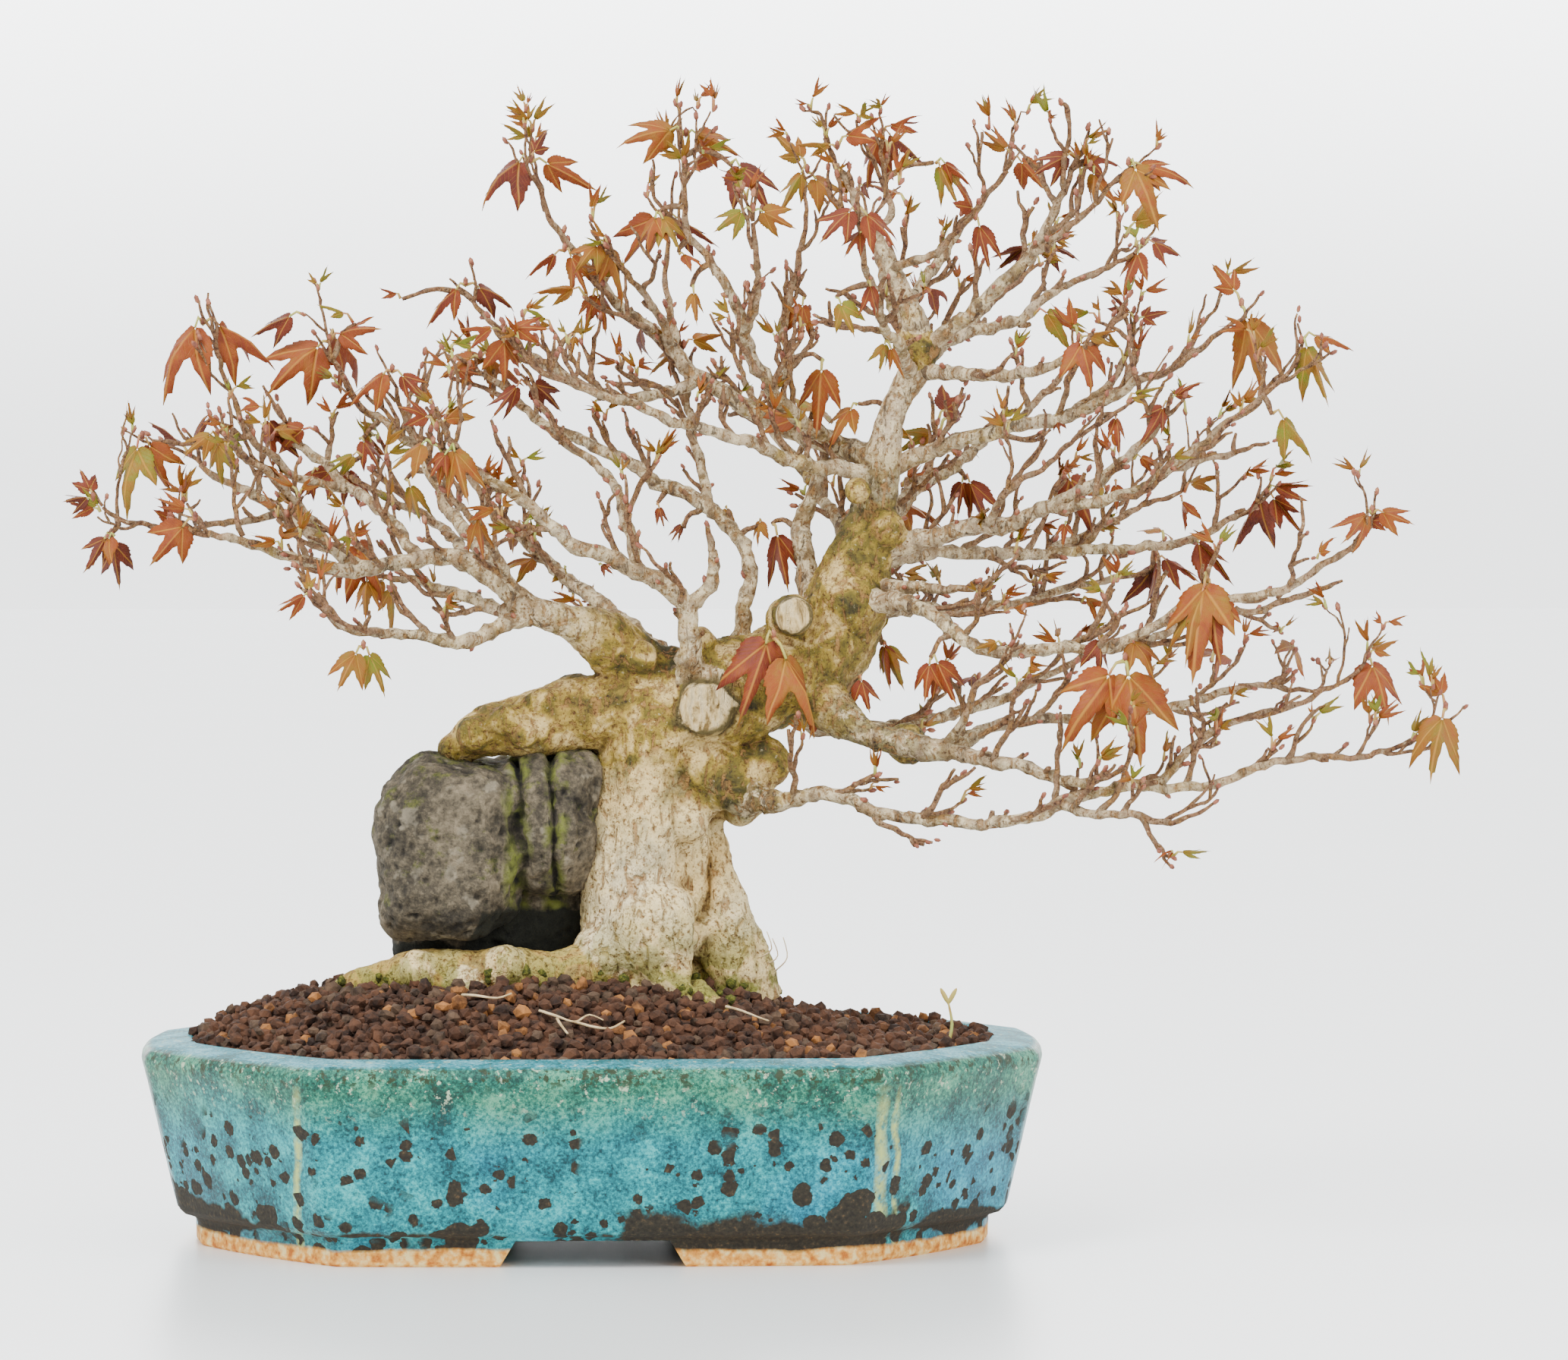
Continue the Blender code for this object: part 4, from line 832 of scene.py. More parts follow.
RIGHT_HIGH = [
    [(38, 5, 222, 4.4), (50, 4, 227, 3.4), (62, 0, 231, 3.2), (75, -3, 234, 3), (87, -6, 237, 2.7),
     (98, -8, 241, 2.4), (108, -10, 246, 2), (117, -12, 250, 1.6), (127, -14, 256, 1.3),
     (137, -16, 265, 0.9)],
    [(91, -7, 238, 2.1), (101, -2, 246, 1.6), (107, 1, 253, 1.3), (110, 2, 261, 0.9)],
    [(34, 5, 198, 5.5), (50, 2, 202, 3.9), (61, -3, 205, 3.7), (72, -7, 206, 3.4), (82, -10, 210, 3),
     (91, -13, 215, 2.7), (100, -15, 220, 2.4), (108, -17, 227, 2), (117, -19, 237, 1.3)],
    [(85, -11, 211, 2.6), (98, -18, 213, 2.3), (110, -22, 218, 2.1), (121, -25, 226, 1.8),
     (132, -27, 235, 1.5), (143, -28, 243, 1.2), (153, -29, 254, 0.9)],
    [(110, -22, 218, 2), (123, -15, 223, 1.7), (137, -10, 227, 1.4)],
    [(67, -6, 206, 2), (71, -16, 214, 1.4), (80, -22, 222, 1.2), (96, -30, 236, 0.9)],
    [(34, 5, 195, 5), (52, 14, 198, 3), (66, 18, 197, 2.8), (80, 22, 197, 2.6), (94, 25, 197, 2.4),
     (108, 27, 198, 2.2), (122, 29, 199, 2), (133, 31, 202, 1.7), (143, 32, 206, 1.4), (152, 33, 211, 1)],
    [(88, 24, 197.5, 2), (100, 30, 203, 1.6), (111, 34, 208, 1.4), (128, 37, 215, 0.9)],
    [(32, 4, 188, 4.6), (52, -6, 188, 2), (66, -10, 188, 1.5)],
]
RIGHT_LOW = [
    [(30, 5, 183, 5.5), (52, 20, 181, 2.7), (66, 28, 180, 2.4), (80, 34, 182, 2.1), (93, 38, 186, 1.9),
     (106, 42, 188, 1.5), (120, 45, 192, 1)],
    [(29, 2, 184, 5.5), (47, -10, 183, 3.2), (55, -15, 177, 2.9), (64, -19, 171, 2.7),
     (76, -22, 170, 2.6), (88, -25, 171, 2.5), (99, -27, 171, 2.3), (109, -28, 175, 2.1),
     (118, -29, 182, 1.8), (135, -34, 186, 1.9), (146, -36, 188, 1.8), (156, -38, 193, 1.5),
     (164, -39, 199, 1.3), (170, -40, 206, 0.9)],
    [(98, -27, 171, 2.2), (112, -20, 173, 1.9), (122, -14, 177, 1.7), (133, -10, 180, 1.5),
     (145, -8, 181, 1.4), (155, -6, 184, 1.3), (164, -5, 188, 1.4)],
    [(-20, 0, 128, 10), (-4, -5, 127, 6.5), (8, -10, 127, 3.8), (20, -14, 129, 3), (30, -17, 126, 2.7),
     (42, -20, 123, 2.5), (55, -22, 122, 2.4), (68, -24, 121.5, 2.4), (80, -26, 123.5, 2.4),
     (90, -27, 128, 2.4), (101, -28, 131, 2.3), (113, -29, 132.5, 2.1), (126, -30, 132.5, 1.9),
     (138, -31, 135.5, 1.8), (148, -31, 139.5, 1.6), (160, -32, 141, 1.4), (172, -33, 141, 1.2),
     (184, -34, 145, 1.1), (192, -35, 150, 0.9)],
    [(112, -29, 132.5, 2), (122, -26, 141, 1.7), (131, -22, 148, 1.6), (142, -18, 151, 1.5),
     (153, -15, 154, 1.3), (164, -12, 159, 1.1), (174, -10, 164, 0.9)],
    [(84, -26, 126, 2.2), (96, -33, 125, 1.8), (116, -40, 123, 1.3)],
    [(18, -2, 156, 9), (30, -8, 147, 5.5), (44, -12, 143, 5), (56, -14, 142, 4.2), (66, -9, 148, 2.6),
     (86, -4, 150, 2.1), (98, -2, 150.5, 2), (112, 0, 151.5, 1.9), (124, 2, 154, 1.8),
     (137, 4, 157, 1.7), (151, 6, 159, 1.4)],
    [(50, -13, 142, 3.6), (64, -18, 140, 3), (76, -22, 137, 2.6), (86, -25, 134, 2.3), (96, -30, 133, 1.8)],
    [(54, -14, 142, 2.6), (60, -18, 153, 1.5), (62, -20, 160, 1.3), (71, -22, 169, 0.9)],
]
BACK = [
    [(-20, 4, 158, 7), (-30, 14, 170, 4.5), (-42, 23, 180, 3.6), (-55, 30, 190, 2.9),
     (-68, 37, 201, 2.3), (-80, 43, 213, 1.7), (-88, 46, 226, 1)],
    [(8, 4, 164, 7), (16, 17, 172, 4.5), (22, 27, 180, 3.6), (30, 36, 190, 2.8), (40, 44, 201, 2.2),
     (50, 50, 214, 1.6), (56, 54, 227, 1)],
    [(30, 6, 195, 5), (26, 18, 206, 3.2), (18, 28, 218, 2.5), (8, 36, 231, 2), (0, 43, 245, 1.5),
     (-6, 48, 259, 1)],
    [(34, 6, 205, 5), (46, 17, 214, 3.2), (60, 26, 223, 2.6), (74, 34, 233, 2), (88, 41, 244, 1.5),
     (98, 46, 256, 1)],
    [(6, 4, 155, 8), (24, 16, 146, 3.8), (44, 25, 146, 3), (64, 33, 150, 2.4), (84, 40, 157, 1.9),
     (103, 45, 167, 1.2)],
]

LIMBS = LEFT_LOW + STEMS + CROWN_LEFT + CROWN_RIGHT + RIGHT_HIGH + RIGHT_LOW + BACK
print("limbs:", len(LIMBS))

# %% [markdown]
# A shoot is a bud with two or three leaves. Each is given by the bud's place and the tips
# of its leaves, in the limbs' units.

# %% Leaf shoots, as in the working solid
SHOOTS = [
    ((-159, -5, 264), [(-170, -9, 242), (-139, -2, 252)]),
    ((-124, 19, 259.5), [(-142, 16, 244), (-117, 31, 247), (-109, 14, 263)]),
    ((-105, 5, 250.5), [(-117, 1, 241), (-94, 1, 241)]),
    ((-164, 9, 226), [(-176, 12, 236), (-157, 5, 238)]),
    ((-176, -10, 231), [(-181, -12, 209), (-168, -8, 216)]),
    ((-190, -11, 213.5), [(-198, -14, 213), (-194, -8, 222)]),
    ((-185, -9, 203), [(-192, -13, 193), (-183, -6, 188)]),
    ((-160, -19, 208), [(-171, -21, 214), (-173, -16, 195)]),
    ((-142, 15, 238), [(-150, 19, 243), (-140, 11, 222)]),
    ((-154, -16, 231.5), [(-163, -19, 226), (-153, -13, 217)]),
    ((-127, -26, 186), [(-136, -28, 182), (-128, -23, 194)]),
    ((-106, 13, 190), [(-115, 14, 182), (-106, 16, 174)]),
    ((-118, 8, 202.5), [(-122, 12, 186), (-108, 12, 182)]),
    ((-112, -24, 171.5), [(-119, -28, 160), (-106, -24, 158)]),
    ((-92, -27, 229.5), [(-104, -30, 222), (-84, -24, 218)]),
    ((-121, 37, 223), [(-133, 40, 214), (-116, 40, 210)]),
    ((-91, -28, 233.5), [(-101, -32, 240), (-80, -26, 242)]),
    ((-84, 15, 276), [(-95, 12, 264), (-70, 18, 269)]),
    ((-80, 26, 255), [(-92, 30, 249), (-68, 34, 247)]),
    ((-66, 10, 247), [(-76, 7, 237), (-56, 14, 239)]),
    ((-72, -25, 260), [(-84, -28, 262), (-72, -22, 246), (-59, -26, 262)]),
    ((-65, 16, 312), [(-79, 13, 299), (-46, 18, 304), (-60, 22, 322)]),
    ((-55, 14, 286), [(-66, 10, 278), (-48, 12, 272)]),
    ((-43, 3, 288), [(-52, 0, 279), (-38, 6, 270)]),
    ((-26, 24, 296), [(-38, 28, 282), (-10, 26, 288)]),
    ((-20, -9, 318), [(-39, -12, 315), (-4, -6, 312)]),
    ((-1, -16, 296), [(-12, -18, 290), (11, -16, 291)]),
    ((-20, 21, 258), [(-30, 24, 250), (-8, 22, 262)]),
    ((16, 13, 309), [(6, 16, 321), (8, 10, 297), (26, 14, 297)]),
    ((24, 0, 315), [(37, -4, 324), (12, -2, 316)]),
    ((37, 6, 319), [(48, 3, 325), (50, 8, 311), (33, 10, 304)]),
    ((27, -39, 295), [(17, -42, 286), (38, -42, 284)]),
    ((63, -12, 294), [(57, -16, 304), (67, -14, 279)]),
    ((76, 13, 313), [(67, 10, 321), (86, 16, 304)]),
    ((92, -12, 312), [(79, -15, 306), (105, -10, 309)]),
    ((106, -20, 309), [(114, -24, 291), (124, -20, 303)]),
    ((115, 19, 288), [(109, 16, 272), (127, 23, 285)]),
    ((92, -19, 259), [(84, -22, 269), (103, -20, 262), (95, -22, 244)]),
    ((111, 2, 265), [(103, 0, 273), (121, 5, 268)]),
    ((139, -16, 269), [(131, -13, 281), (146, -18, 242)]),
    ((154, -29, 258), [(161, -32, 241), (169, -26, 256)]),
    ((118, -20, 241), [(109, -23, 229), (127, -21, 247)]),
    ((86, 44, 289), [(75, 49, 282), (99, 47, 285)]),
    ((154, 34, 214), [(168, 36, 217), (145, 38, 198), (164, 30, 203)]),
    ((172, -41, 210), [(183, -44, 207), (163, -48, 202)]),
    ((123, 46, 195), [(136, 49, 188), (121, 44, 176)]),
    ((104, -30, 168), [(86, -33, 144), (108, -34, 139)]),
    ((177, -9, 167.5), [(186, -6, 173), (182, -14, 150)]),
    ((194, -36, 154.5), [(189, -34, 166), (188, -45, 136)]),
    ((5, -13, 174), [(-5, -17, 150), (17, -17, 147)]),
    ((58, 55, 232), [(46, 58, 227), (70, 58, 226)])
]
print("shoots:", len(SHOOTS))

# %% [markdown]
# ## Growing the wood
#
# A limb is a tube whose rings follow a smooth curve through its route. Rings are carried
# along the curve without twisting. Maple twigs swell at each joint, where a pair of buds
# sat, so thin limbs get a small ring every centimetre or so.

# %% Smooth routes and ringed tubes
SLENDER = 0.72


def slender(radius):
    """Limbs taper faster than the working solid's: thin ones are slimmer, stout ones the same."""
    return radius * (SLENDER + (1 - SLENDER) * min(1.0, max(0.0, (radius - 4.5) / 4.5)))


def stretched(x, depth, height):
    """A place given in the limbs' units."""
    return Vector((x, depth * TREE_DEPTH, height)) * MM + Vector((0, 0, TREE_LIFT))


def limb_route(limb):
    is_root = limb in ROOTS
    return [(stretched(*place), (radius if is_root else slender(radius)) * MM) for *place, radius in limb]


def stray(dice, *ranges):
    """A vector drawn part by part between the given ends."""
    return Vector([dice.uniform(*ends) for ends in ranges])


def curve_between(a, b, c, d, t):
    """A Catmull-Rom step from b to c, for places and for radii."""
    square = a * 2 - b * 5 + c * 4 - d
    cube = b * 3 - a - c * 3 + d
    return (b * 2 + (c - a) * t + square * t ** 2 + cube * t ** 3) * 0.5


def smoothed(route, step):
    ends = [route[0]] + list(route) + [route[-1]]
    fine = []
    for a, b, c, d in zip(ends, ends[1:], ends[2:], ends[3:]):
        count = max(1, round((c[0] - b[0]).length / step))
        for number in range(count):
            fine.append(tuple(curve_between(a[k], b[k], c[k], d[k], number / count) for k in (0, 1)))
    return fine + [route[-1]]


def jointed(route, spacing, swelling=0.28):
    """The same route with a slight kink and a swollen ring at each joint, marked from 0 to 1."""
    travelled = 0.0
    result = []
    before = route[0][0]
    for place, radius in route:
        travelled += (place - before).length
        before = place
        off = (travelled / spacing) % 1.0 - 0.5
        ring = math.exp(-(off * spacing / 0.0011) ** 2)
        kink = noise.noise_vector(place * 95) * 0.0016 + noise.noise_vector(place * 290) * 0.0007
        result.append((place + kink * min(1.0, 0.002 / radius), radius * (1 + swelling * ring), ring))
    return result


def tube(route, sides, lumps=0.10, lump_size=170.0):
    """A closed tube as a bmesh that keeps the radius in millimetres as girth, and its joints."""
    rings = []
    side = (route[1][0] - route[0][0]).orthogonal().normalized()
    for number, (centre, radius, *_) in enumerate(route):
        along = route[min(number + 1, len(route) - 1)][0] - route[max(number - 1, 0)][0]
        along.normalize()
        side = (side - along * side.dot(along)).normalized()
        other = along.cross(side)
        ring = []
        for step in range(sides):
            angle = math.tau * step / sides
            outward = side * math.cos(angle) + other * math.sin(angle)
            swell = 1 + lumps * noise.noise((centre + outward * radius) * lump_size)
            ring.append(centre + outward * radius * swell)
        rings.append(ring)
    work = bridged(rings)
    girth = work.verts.layers.float.new("girth")
    joint = work.verts.layers.float.new("joint")
    work.verts.index_update()
    for vert in work.verts:
        ring = route[min(vert.index // sides, len(route) - 1)]
        vert[girth] = ring[1] / MM
        vert[joint] = ring[2] if len(ring) > 2 else 0.0
    return work


HEAVY_RADIUS = 0.0027

# %% [markdown]
# ## Trunk, roots and heavy limbs in one skin
#
# On an old tree the limbs flow into the trunk with a collar of callus. Tubes that are
# pushed into each other leave hard seams, so every stretch of wood over six millimetres
# thick goes into one voxel skin, and smoothing rounds its seams into collars. Knots, a
# burl and the stub of an old cut go in as balls and short tubes. Fluting and bark relief
# then move the skin along its normals.

# %% The heavy skin
ROOT_YELLOW = [0.15, 0.25, 0.9, 0.6, 0.5]
STOUT = 12.0
GROOVE_TOP = Vector((-9, 0, 121)) * MM
GROOVE_FOOT = Vector((-17, 0, 76)) * MM
heavy = bmesh.new()
heavy_points = []
for limb in TRUNK + ROOTS + LIMBS:
    route = limb_route(limb)
    is_root = limb in ROOTS
    thick = [point for point in route if point[1] >= HEAVY_RADIUS]
    if is_root:
        thick = route
    if len(thick) < 2:
        continue
    fine = smoothed(thick, 0.004)
    yellow = ROOT_YELLOW[ROOTS.index(limb)] if is_root else 0.0
    heavy_points += [(place, radius, yellow, STOUT if is_root else radius / MM) for place, radius in fine]
    join_into(heavy, tube(fine, 20, 0.16, 60.0))

# Swellings: burl, limb knot, trunk foot, and the collar round the old front cut.
SWELLINGS = [
    ((4, -3, 137), 7.5), ((-42, -5, 173), 5.2), ((-44, -6, 82), 9), ((-52, 2, 152), 10.5),
    ((27, 2, 183), 11.5), ((47, 2, 257), 6.8), ((44, -8, 143), 6), ((10, -2, 178), 7),
    ((-6, -2, 131), 11.5), ((-62, -6, 155), 4.2), ((-72, -7, 150), 5), ((-81, -5, 146), 5.2),
    ((-67, -8, 146), 4.2), ((-88, 0, 141), 4.5), ((-16, -4, 172), 5), ((38, 2, 205), 6),
    ((30, -2, 216), 4.5), ((-33, -6, 168), 5), ((-19, -5, 120), 6), ((-97, -11, 78), 6),
    ((-72, -12, 79), 6), ((-84, -12, 74), 6.5), ((-30, -3, 88), 17), ((-36, 4, 74), 19)
]
for middle, radius in SWELLINGS:
    ball = bmesh.new()
    bmesh.ops.create_icosphere(ball, subdivisions=3, radius=radius * MM)
    centre = stretched(*middle)
    bmesh.ops.translate(ball, vec=centre, verts=ball.verts)
    join_into(heavy, ball)
    heavy_points.append((centre, radius * MM, 0.0, STOUT))
CUT_SCAR = Vector((-14, -16.2, 153)) * MM
CUT_STUB = Vector((11, -20, 180)) * MM
for face_centre, radius, depth in ((CUT_SCAR, 0.0078, 0.014), (CUT_STUB, 0.0054, 0.014)):
    stub = [(face_centre + Vector((0, depth, 0)), radius * 1.15), (face_centre, radius)]
    join_into(heavy, tube(stub, 20, 0.05))
heavy = remeshed(heavy, "heavy_skin", VOXEL)
relax(heavy, 5, 0.6)

centres = KDTree(len(heavy_points))
for number, (place, *_) in enumerate(heavy_points):
    centres.insert(place, number)
centres.balance()
girth = heavy.verts.layers.float.new("girth")
rooty = heavy.verts.layers.float.new("rooty")
heavy.normal_update()
for vert in heavy.verts:
    found = min(centres.find_n(vert.co, 6), key=lambda hit: hit[2] - heavy_points[hit[1]][1])
    _, radius, root, shown_girth = heavy_points[found[1]]
    vert[girth] = shown_girth
    vert[rooty] = root
    size = min(1.0, radius / 0.012)
    place = vert.co
    flute = noise.noise(Vector((place.x * 85, place.y * 85, place.z * 16))) * 0.0022 * size
    relief = noise.fractal(place * 230, 1.0, 2.0, 3) * 0.00055 * (0.4 + size)
    # A deep furrow parts the trunk from its right-hand root.
    down = GROOVE_FOOT - GROOVE_TOP
    share = min(1.0, max(0.0, (place - GROOVE_TOP).dot(down) / down.length_squared))
    aside = place - (GROOVE_TOP + down * share)
    off = math.hypot(aside.x + noise.noise(place * 120) * 0.0015, aside.z)
    furrow = 0.0036 * math.exp(-(off / 0.0016) ** 2) if place.y < 0 else 0.0
    crease = -furrow + min(0.0, abs(noise.noise(Vector((place.x * 330, place.y * 330,
        place.z * 80)))) - 0.07) * 0.005 * size
    on_cut = min((place - CUT_SCAR).length, (place - CUT_STUB).length) < 0.0085
    if not on_cut:
        vert.co += vert.normal * (flute + relief + crease)
print("heavy skin verts:", len(heavy.verts))

# %% [markdown]
# ## Branches, twigs and buds
#
# Every limb's thinner stretch, from inside the heavy skin to its tip, also runs as a finer
# jointed tube, so the thin stretches come out of the heavy skin without a seam. Twigs are
# grown from them by rule: single buds sit along them every few millimetres, some have pushed
# a twig, and each limb ends in a small fan. The dice are seeded, so the same tree grows each time.

# %% Limb tubes
branches = bmesh.new()
fine_limbs = []
for limb in LIMBS + [TRUNK[1]]:
    route = smoothed(limb_route(limb), 0.0016)
    route = [(place, radius * (0.97 if radius > HEAVY_RADIUS else 0.93)) for place, radius in route]
    thin = [point for point in route if point[1] < HEAVY_RADIUS + 0.0012]
    if len(thin) < 4:
        continue
    thin = jointed(thin, 0.0070, 0.22)
    fine_limbs.append(thin)
    join_into(branches, tube(thin, 10, 0.22, 420.0))

# %% Twigs, spurs and buds
dice = random.Random(21)
buds = bmesh.new()
twig_ends = []


def bud(place, along, size):
    """A pointed bud: a ball drawn out along its twig."""
    single = bmesh.new()
    bmesh.ops.create_icosphere(single, subdivisions=1, radius=1.0)
    bmesh.ops.scale(single, vec=(size, size, size * 1.9), verts=single.verts)
    turn = along.to_track_quat("Z", "Y").to_matrix().to_4x4()
    bmesh.ops.transform(single, matrix=Matrix.Translation(place + along * size) @ turn, verts=single.verts)
    join_into(buds, single)


HIGHEST_TWIG = pot_high.z + 0.268


def grow_twig(start, direction, length, radius, leafy, forks=0):
    """A crooked twig that bends up towards the light and ends in a bud, or blunt where pruned."""
    place = start
    route = [(place, radius)]
    steps = max(3, round(length / 0.003))
    for step in range(steps):
        wander = stray(dice, (-1, 1), (-1, 1), (-0.6, 1.2)) * 0.22
        direction = (direction + wander).normalized()
        place = place + direction * (length / steps)
        place.z = min(place.z, HIGHEST_TWIG)
        route.append((place, radius * (1 - 0.45 * (step + 1) / steps)))
        if forks and step in (steps // 3, 2 * steps // 3):
            fork = stray(dice, (-1, 1), (-1, 1), (-0.4, 0.9))
            grow_twig(place, (direction + fork * 0.9).normalized(), length * dice.uniform(0.35, 0.6),
                radius * 0.75, dice.random() < 0.5)
    join_into(branches, tube(jointed(smoothed(route, 0.0015), 0.006, 0.2), 6, 0.08))
    if leafy or dice.random() < 0.6:
        bud(place, direction, dice.uniform(0.0006, 0.0009))
    if leafy:
        twig_ends.append((place, direction))


for route in fine_limbs:
    travelled = 0.0
    turn = dice.uniform(0, 6.28)
    for number in range(3, len(route) - 1):
        travelled += (route[number][0] - route[number - 1][0]).length
        place, radius, _ = route[number]
        if travelled < 0.0060 or radius > 0.0030:
            continue
        travelled = 0.0
        turn += 2.0
        along = (route[number + 1][0] - route[number - 1][0]).normalized()
        side = along.orthogonal().normalized()
        out = Matrix.Rotation(turn, 3, along) @ side
        direction = (along * 0.9 + out * 0.8 + Vector((0, 0, 0.35))).normalized()
        chance = dice.random()
        if chance < 0.44:
            grow_twig(place, direction, dice.uniform(0.011, 0.027), min(0.001, radius * 0.75),
                dice.random() < 0.4, 1)
        elif chance < 0.72:
            grow_twig(place, direction, dice.uniform(0.003, 0.007), min(0.0011, radius * 0.8), False)
        elif chance < 0.9:
            bud(place + out * radius * 0.8, (out + along).normalized(), dice.uniform(0.0006, 0.0009))
    tip, tip_radius, _ = route[-1]
    along = (tip - route[-4][0]).normalized()
    for _ in range(dice.choice((1, 2, 2, 3))):
        fan = stray(dice, (-1, 1), (-1, 1), (-0.3, 1)) * 0.55
        grow_twig(tip, (along + fan).normalized(), dice.uniform(0.006, 0.014), tip_radius * 0.85,
            dice.random() < 0.4)
print("twigs that may carry leaves:", len(twig_ends))

# %% [markdown]
# ## Bark
#
# One bark serves trunk, roots, limbs and twigs. Low on the trunk it is pale cream with
# short brown flakes; above the root arch it turns olive and mossy. Limbs are pale
# grey-tan, and the youngest ends are red-brown. The girth stored on each ring drives that
# change, and the exposed roots lean to yellow.

# %% Bark material
bark, tree, shader, place = new_material("maple_bark")
split = add(tree, "SeparateXYZ", None, {"Vector": place})
girth_read = add(tree, "Attribute", {"attribute_name": "girth"})["Fac"]
rooty_read = add(tree, "Attribute", {"attribute_name": "rooty"})["Fac"]
grain_map = add(tree, "Mapping", None, {"Vector": place, "Scale": (1.0, 1.0, 0.3)})["Vector"]
broad = noise_node(place, 38.0, 5.0, 0.6, 0.4)
patchy = noise_node(place, 95.0, 4.0, 0.6, 0.5)
fine = noise_node(place, 650.0, 5.0, 0.65)
streaks = noise_node(grain_map, 420.0, 4.0, 0.6, 0.6)

cream = ramp(broad, [(0.3, (0.74, 0.5, 0.18)), (0.5, (0.95, 0.74, 0.36)), (0.7, (0.97, 0.85, 0.56))])
olive = ramp(patchy, [(0.34, (0.045, 0.036, 0.004)), (0.45, (0.17, 0.125, 0.01)),
    (0.53, (0.36, 0.24, 0.03)), (0.62, (0.72, 0.52, 0.2))])
olive_share = between(split["Z"] + (broad - 0.5) * 0.11, 0.118, 0.136)
trunk_colour = mix(olive_share, cream, olive)
root_colour = ramp(patchy, [(0.36, (0.2, 0.14, 0.015)), (0.47, (0.62, 0.38, 0.07)),
    (0.6, (0.9, 0.66, 0.26))])
trunk_colour = mix(rooty_read, trunk_colour, root_colour)

limb_colour = ramp(patchy, [(0.28, (0.1, 0.06, 0.025)), (0.43, (0.34, 0.22, 0.1)),
    (0.56, (0.56, 0.42, 0.25)), (0.76, (0.74, 0.62, 0.45))])
mossy_limb = ramp(broad, [(0.5, (0.0, 0.0, 0.0)), (0.66, (0.8, 0.8, 0.8))])
limb_colour = mix(mossy_limb, limb_colour, olive)
pale_scab = ramp(noise_node(place, 260.0, 4.0, 0.65, 0.5), [(0.46, 0.0), (0.56, 0.85)])
limb_colour = mix(pale_scab, limb_colour, (0.82, 0.68, 0.42))
dark_scab = ramp(noise_node(grain_map, 330.0, 4.0, 0.7, 0.8), [(0.57, 0.0), (0.63, 0.9)])
limb_colour = mix(dark_scab, limb_colour, (0.085, 0.055, 0.03))
young_colour = ramp(fine, [(0.3, (0.11, 0.045, 0.02)), (0.55, (0.27, 0.13, 0.055)),
    (0.75, (0.5, 0.33, 0.17))])
is_limb = between(girth_read, 8.0, 5.0)
is_young = between(girth_read, 1.5, 0.8)
is_limb = is_limb * (1.0 - rooty_read)
bark_colour = mix(is_limb, trunk_colour, limb_colour)
bark_colour = mix(is_young, bark_colour, young_colour)
# The lowest limb on the right is darker and mossier where it leaves the trunk.
darker_limb_base = add(tree, "VectorMath", {"operation": "DISTANCE"},
    {0: place, 1: (0.043, 0.0, TREE_LIFT + 0.14)})["Value"]
darker_limb_base = between(darker_limb_base, 0.034, 0.02) * ramp(noise_node(place, 180.0, 4.0, 0.65),
    [(0.4, 0.0), (0.5, 0.9)])
bark_colour = mix(darker_limb_base, bark_colour, ramp(fine, [(0.4, (0.045, 0.036, 0.012)),
    (0.6, (0.22, 0.17, 0.03))]))
joint_read = add(tree, "Attribute", {"attribute_name": "joint"})["Fac"]
joint_dark = joint_read * ramp(fine, [(0.4, 0.2), (0.55, 0.9)])
bark_colour = mix(joint_dark, bark_colour, (0.13, 0.075, 0.035))

# %% Flakes, moss, stains and the old cuts
flake_cells = add(tree, "TexVoronoi", {"feature": "DISTANCE_TO_EDGE"},
    {"Vector": grain_map, "Scale": 260.0})
flakes = ramp(flake_cells["Distance"], [(0.0, 1.0), (0.055, 0.55), (0.12, 0.0)])
flakes = flakes * ramp(noise_node(place, 330.0, 3.0, 0.6), [(0.5, 0.0), (0.58, 0.9)])
flakes = maths("MAXIMUM", flakes, ramp(streaks, [(0.57, 0.0), (0.66, 0.8)]))
bark_colour = mix(flakes, bark_colour, (0.36, 0.18, 0.05))
foot_moss = between(split["Z"], 0.1, 0.072) * ramp(patchy, [(0.42, 0.0), (0.51, 0.9)])
bark_colour = mix(foot_moss, bark_colour, (0.2, 0.21, 0.014))
grit = noise_node(place, 1300.0, 4.0, 0.7)
bark_colour = mix(1.0, bark_colour, ramp(grit, [(0.34, (0.5, 0.4, 0.26)), (0.47, (1.0, 1.0, 1.0))]),
    "MULTIPLY")
bark_colour = mix(1.0, bark_colour, ramp(fine, [(0.34, (0.5, 0.4, 0.28)), (0.46, (1.0, 1.0, 1.0))]),
    "MULTIPLY")
speckle = ramp(fine, [(0.62, 0.0), (0.74, 0.5)])
bark_colour = mix(speckle, bark_colour, (0.92, 0.78, 0.5))
for cut_place, cut_radius in ((CUT_SCAR, 0.0085), (CUT_STUB, 0.0058)):
    reach = add(tree, "VectorMath", {"operation": "DISTANCE"}, {0: place, 1: cut_place})["Value"]
    ragged = reach + (patchy - 0.5) * 0.01
    callus = between(ragged, cut_radius * 1.25, cut_radius)
    face = between(ragged, cut_radius * 0.92, cut_radius * 0.8)
    bark_colour = mix(callus, bark_colour, (0.1, 0.07, 0.015))
    bark_colour = mix(face, bark_colour, ramp(streaks, [(0.38, (0.2, 0.12, 0.03)),
        (0.47, (0.62, 0.44, 0.19)), (0.6, (0.84, 0.66, 0.36))]))
